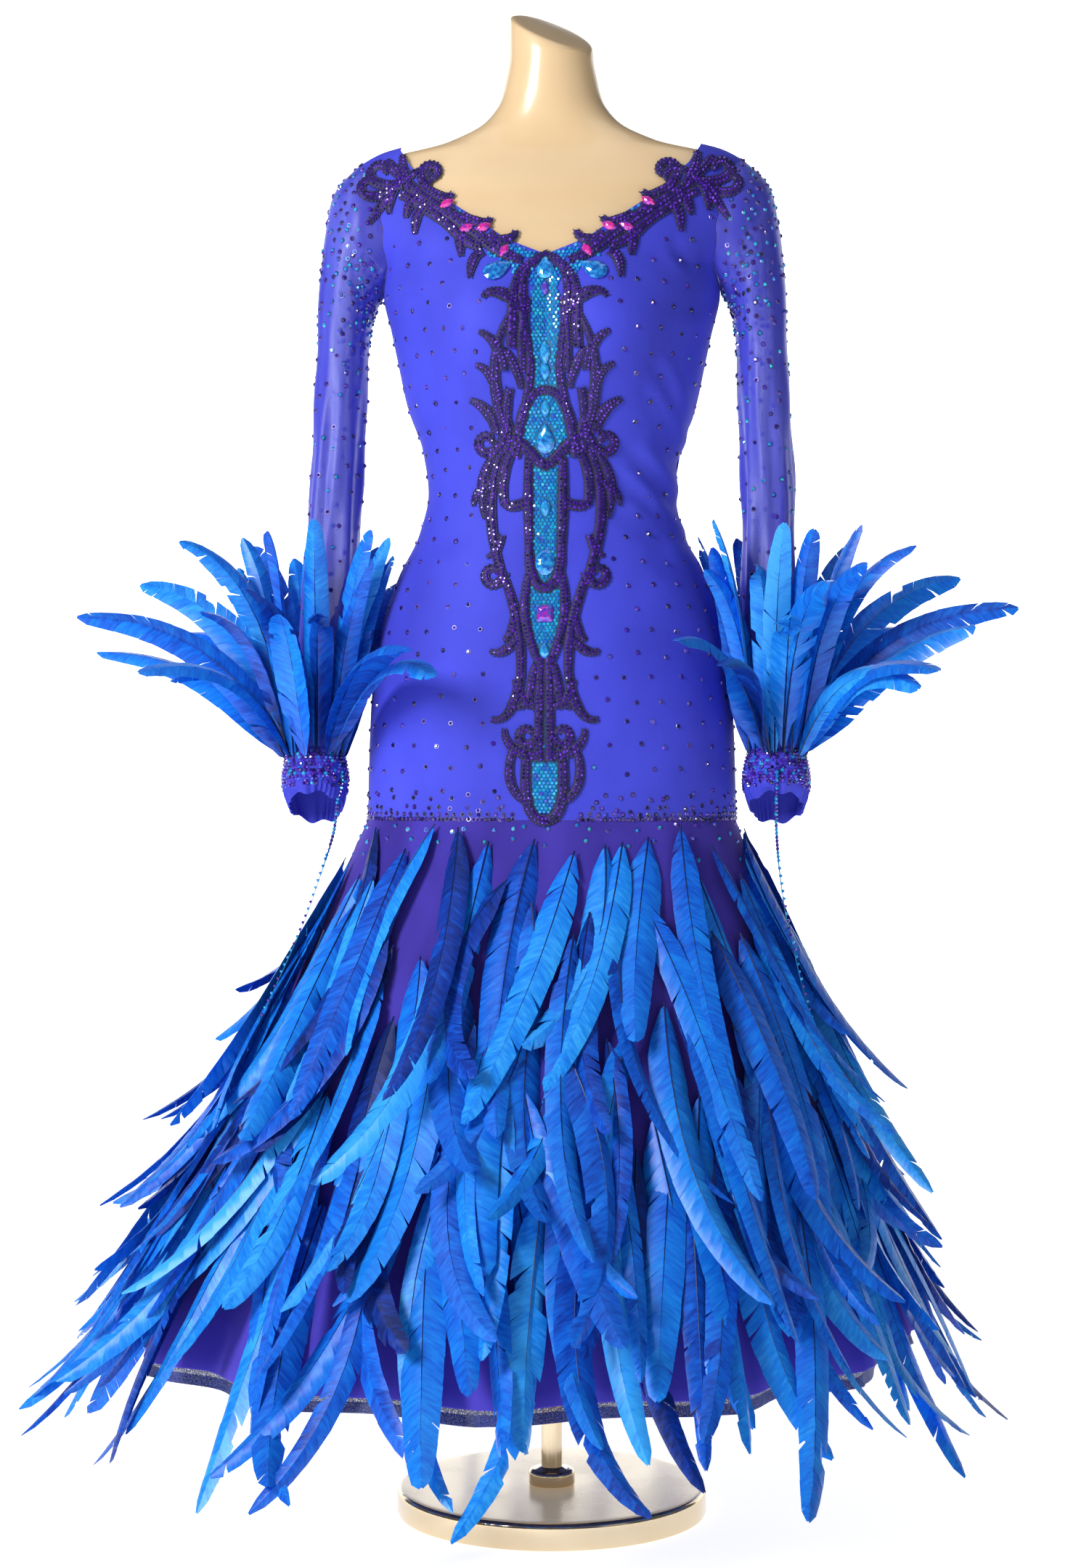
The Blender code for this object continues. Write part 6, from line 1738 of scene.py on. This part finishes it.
def seam_places(dice):
    """The dense line of stones round the hip seam, and the strewn ones just above and below."""
    found = []
    rows = ((HIP_SEAM + 0.0010, 0.0046, 0.26), (HIP_SEAM + 0.0060, 0.0085, 0.30),
            (HIP_SEAM + 0.0125, 0.0140, 0.32), (HIP_SEAM + 0.0210, 0.0240, 0.34))
    for z, step, tint in rows:
        turns = body_grid(z, step, 0.2)
        turns = turns + dice.normal(0, 0.02 if step > 0.01 else 0.002, len(turns))
        level = z + dice.normal(0, 0.0016 if step > 0.01 else 0.0003, len(turns))
        point, normal = body_surface(level, turns)
        near = (np.abs(point[:, 0]) < 0.031) & (point[:, 1] < 0)
        point = point + normal * (EASE + CLOTH - 0.0001)
        tints = np.clip(dice.normal(tint, 0.16, (~near).sum()), 0, 1)
        found.append((point[~near], normal[~near], tints))
    for drop, step in ((0.008, 0.021), (0.020, 0.034), (0.036, 0.055)):
        turns = body_grid(HIP_SEAM, step, dice.uniform(0, 1))
        turns = turns + dice.normal(0, 0.03, len(turns))
        share = (drop + dice.normal(0, 0.003, len(turns))) / (HIP_SEAM - HEM)
        point = skirt_surface(turns, share, flute_wave(turns))
        normal = surface_frame(turns, share)[1]
        found.append((point, normal, np.clip(dice.normal(0.80, 0.14, len(turns)), 0, 1)))
    return joined(found)


def sleeve_places(dice, grid, side):
    """Single stones on a sleeve, dense on the shoulder and few by the elbow."""
    rows, count = grid.shape[:2]
    rings = grid.mean(axis=1)
    length = lengths_along(grid[:, 0])
    around = unit(grid - rings[:, None])
    found = []
    at = 0.006
    number = 0
    while at < length[-1] - 0.03:
        down = at / length[-1]
        step = 0.0115 + 0.0150 * min(down / 0.45, 1.0)
        r = min(int(np.searchsorted(length, at)), rows - 2)
        ring = grid[r]
        girth = np.linalg.norm(np.roll(ring, -1, axis=0) - ring, axis=1).sum()
        many = max(int(girth / step), 3)
        which = (np.arange(many) + 0.5 * (number % 2) + dice.normal(0, 0.12, many)) / many * count
        which = which.astype(int) % count
        rise = np.clip(r + dice.integers(-1, 2, many), 1, rows - 2)
        along = unit(grid[rise + 1, which] - grid[rise - 1, which])
        beside = unit(grid[rise, (which + 1) % count] - grid[rise, which - 1])
        normal = unit(np.cross(along, beside)) * side
        normal = np.where((normal * around[rise, which]).sum(-1, keepdims=True) < 0, -normal, normal)
        tints = np.where(dice.random(many) < 0.42, dice.normal(0.85, 0.08, many),
                         dice.normal(0.34, 0.15, many))
        found.append((grid[rise, which], normal, np.clip(tints, 0, 1)))
        at += step * 0.95
        number += 1
    return joined(found)


def cuff_places(dice, grid):
    """The band of close stones round a cuff."""
    rows, count = grid.shape[:2]
    middle = grid.mean(axis=(0, 1))
    found = []
    for number, r in enumerate(range(9, 32, 2)):
        many = 46
        which = ((np.arange(many) + 0.5 * (number % 2)) / many * count).astype(int) % count
        keep = dice.random(many) < (0.55 if number in (0, 1) else 0.88)
        which = which[keep]
        place = grid[r, which]
        normal = unit(np.cross(grid[r + 1, which] - grid[r - 1, which],
                               grid[r, (which + 1) % count] - grid[r, which - 1]))
        outward = place - [middle[0], middle[1], 0]
        outward[:, 2] = 0
        normal = np.where((normal * outward).sum(-1, keepdims=True) < 0, -normal, normal)
        found.append((place, normal, np.clip(dice.normal(0.46, 0.24, len(which)), 0, 1)))
    return joined(found)


def facing_rows(dice, found, radius, height, spread=0.12):
    """Rows for set_on_points of round stones that lie flat on places with normals."""
    places, normals, tints = found
    normals = unit(normals + dice.normal(0, STONE_TILT, normals.shape))
    sizes = radius * dice.uniform(1 - spread, 1 + spread, len(places))
    any_way = unit(np.cross(normals, dice.normal(0, 1, normals.shape)))
    sizes = np.stack([sizes, sizes, np.full(len(sizes), height)], -1)
    return places, normals, any_way, sizes, tints


def make_strings(setter, finish):
    """The stone strings that hang from the cuffs, on a fine thread."""
    for side_name, side in SIDES:
        table = [row[:3] for row in WRIST_STRINGS[side_name]] + [STRING_TIPS[side_name]]
        knots = np.array(table, dtype=float) / 1000
        stops = lengths_along(knots)
        at = np.arange(0, stops[-1], 0.004)
        path = smooth_rings(knots[:, None], stops, at)[:, 0]
        facing = np.radians(np.interp(at, stops[:-1], [row[3] for row in WRIST_STRINGS[side_name]]))
        out = np.stack([np.sin(facing), -np.cos(facing), 0 * facing], -1)
        run = unit(np.gradient(path, axis=0))
        across = unit(np.cross(run, out))
        out = np.cross(across, run)
        wide = at < stops[-1] * STRING_STRIP_SHARE
        half = np.where(wide, 0.0011, 0.0008)[:, None]
        ring = np.stack([path + across * half, path + out * 0.0005, path - across * half,
                         path - out * 0.0002], 1)
        faces = grid_faces(len(at), 4, True).tolist()
        last = 4 * (len(at) - 1)
        faces += [[3, 2, 1, 0], [last, last + 1, last + 2, last + 3]]
        thread = plain_mesh(f"wrist_thread_{side_name}", ring, faces, finish)
        tidy_mesh(thread, 0.0000001, True)
        thread.data.shade_smooth()
        place_piece(thread, "aqua_stones", f"wrist_string_{side_name}")
        dice = np.random.default_rng(51)
        step = np.where(wide, True, np.arange(len(at)) % 2 == 0)
        size = np.full(step.sum(), STRING_STONE_RADIUS)
        tints = np.where(dice.random(step.sum()) < 0.55, 0.86, 0.35)
        sizes = np.stack([size, size, size * 1.2], -1)
        rows = [(path[step] + out[step] * 0.0003, out[step], run[step], sizes, tints)]
        set_on_points(f"wrist_string_stones_{side_name}", setter, 8, 0.5, rows, "aqua_stones")


def make_beading(front, sleeves, cuffs):
    """The motifs of the centre and the neckline, the single stones and the wrist strings."""
    stones = bead_finish("cut glass stones", STONE_COLOURS, 0.08, 0.6)
    large = bead_finish("large cut stones", LARGE_STONE_COLOURS, 0.04, 1.0, 260.0, 0.16)
    beads = bead_finish("dark faceted beads", (
        (0.00, (0.010, 0.004, 0.060)), (0.35, (0.040, 0.008, 0.260)), (0.65, (0.110, 0.015, 0.520)),
        (1.00, (0.250, 0.060, 0.900)),
    ), 0.13, 0.5)
    metal = metal_finish("dark stone settings", 0.30, ((0.05, 0.05, 0.12), (0.20, 0.20, 0.32)))
    band = mat_finish("beaded band ground", (0.004, 0.002, 0.035), (0.020, 0.008, 0.130))
    ground = mat_finish("stone ground cloth", (0.004, 0.070, 0.200), (0.010, 0.170, 0.340))
    stone_tree = setting_tree("set stones", "stone", stones)
    bead_tree = setting_tree("set beads", "stone", beads)
    ring_tree = setting_tree("set settings", "stone", metal)
    cord_tree = setting_tree("lay cord strands", "ball", cord_finish())
    dice = np.random.default_rng(61)
    finder = cloth_finder([front] + [sleeve for sleeve, grid in sleeves.values()]
                          + [bpy.data.objects["skirt_cloth"]])
    under = cloth_finder([bpy.data.objects["dress_form"]])
    centre = mirrored_scrolls(CENTRE_SCROLLS)
    neck = {side_name: mirrored_scrolls(NECK_SCROLLS, (side,)) for side_name, side in SIDES}
    every = centre + neck["left"] + neck["right"]
    make_ground(finder, under, ground)
    band_meshes("centre_bands", centre, finder, under, band, "indigo_beading", "centre_scrolls")
    for side_name in neck:
        band_meshes(f"neck_bands_{side_name}", neck[side_name], finder, under, band,
                    "indigo_beading", f"neck_scrolls_{side_name}")
    set_on_points("scroll_beads", bead_tree, 7, 0.5, scroll_beads(every, finder, under, dice),
                  "indigo_beading")
    set_on_points("scroll_cords", cord_tree, 4, 1.0, scroll_cords(every, finder, under),
                  "indigo_beading")
    flat = ground_places(dice, every)
    places, normals = lay(finder, under, flat, 0.0007)
    tints = np.clip(dice.normal(0.87, 0.08, len(flat)), 0.6, 1.0)
    rows = [facing_rows(dice, (places, normals, tints), 0.00205, 0.0016, 0.05)]
    set_on_points("ground_stones", stone_tree, 8, 0.55, rows, "aqua_stones")
    make_large_stones(finder, under, large)
    make_single_stones(dice, every, sleeves, cuffs, stone_tree, ring_tree)
    make_strings(stone_tree, mat_finish("aqua thread", (0.010, 0.160, 0.330), (0.030, 0.400, 0.600)))


def make_single_stones(dice, scrolls, sleeves, cuffs, stone_tree, ring_tree):
    """The single stones of the bodice, the seam and the sleeves in their settings, and the cuffs'."""
    found = [scattered_places(dice, scrolls), seam_places(dice)]
    for side_name, side in SIDES:
        found.append(sleeve_places(dice, sleeves[side_name][1], side))
    single = [facing_rows(dice, part, 0.0023, 0.0018) for part in found]
    set_on_points("single_stones", stone_tree, 8, 0.5, single, "aqua_stones")
    rings = [facing_rows(dice, part, 0.0028, 0.0005, 0.03) for part in found]
    set_on_points("single_stone_settings", ring_tree, 7, 0.86, rings, "pale_gold_metal")
    cuffed = [facing_rows(dice, cuff_places(dice, cuffs[side_name]), 0.0022, 0.0018)
              for side_name, side in SIDES]
    set_on_points("cuff_stones", stone_tree, 8, 0.5, cuffed, "aqua_stones")


def main():
    """Dress the form: cloth, feathers, beading, then the stage, the lights and the camera."""
    make_camera()
    make_torso(lacquer_finish())
    make_stand()
    jersey = jersey_finish()
    front = make_bodice(jersey)
    sleeves = make_sleeves(sleeve_finish())
    cuffs = make_cuffs(jersey)
    make_skirt(georgette_finish(), net_finish(), braid_finish())
    make_beading(front, sleeves, cuffs)
    feather = feather_finish()
    make_skirt_feathers(feather)
    make_cuff_feathers(feather)
    make_stage(stage_finish())
    make_lights()


main()
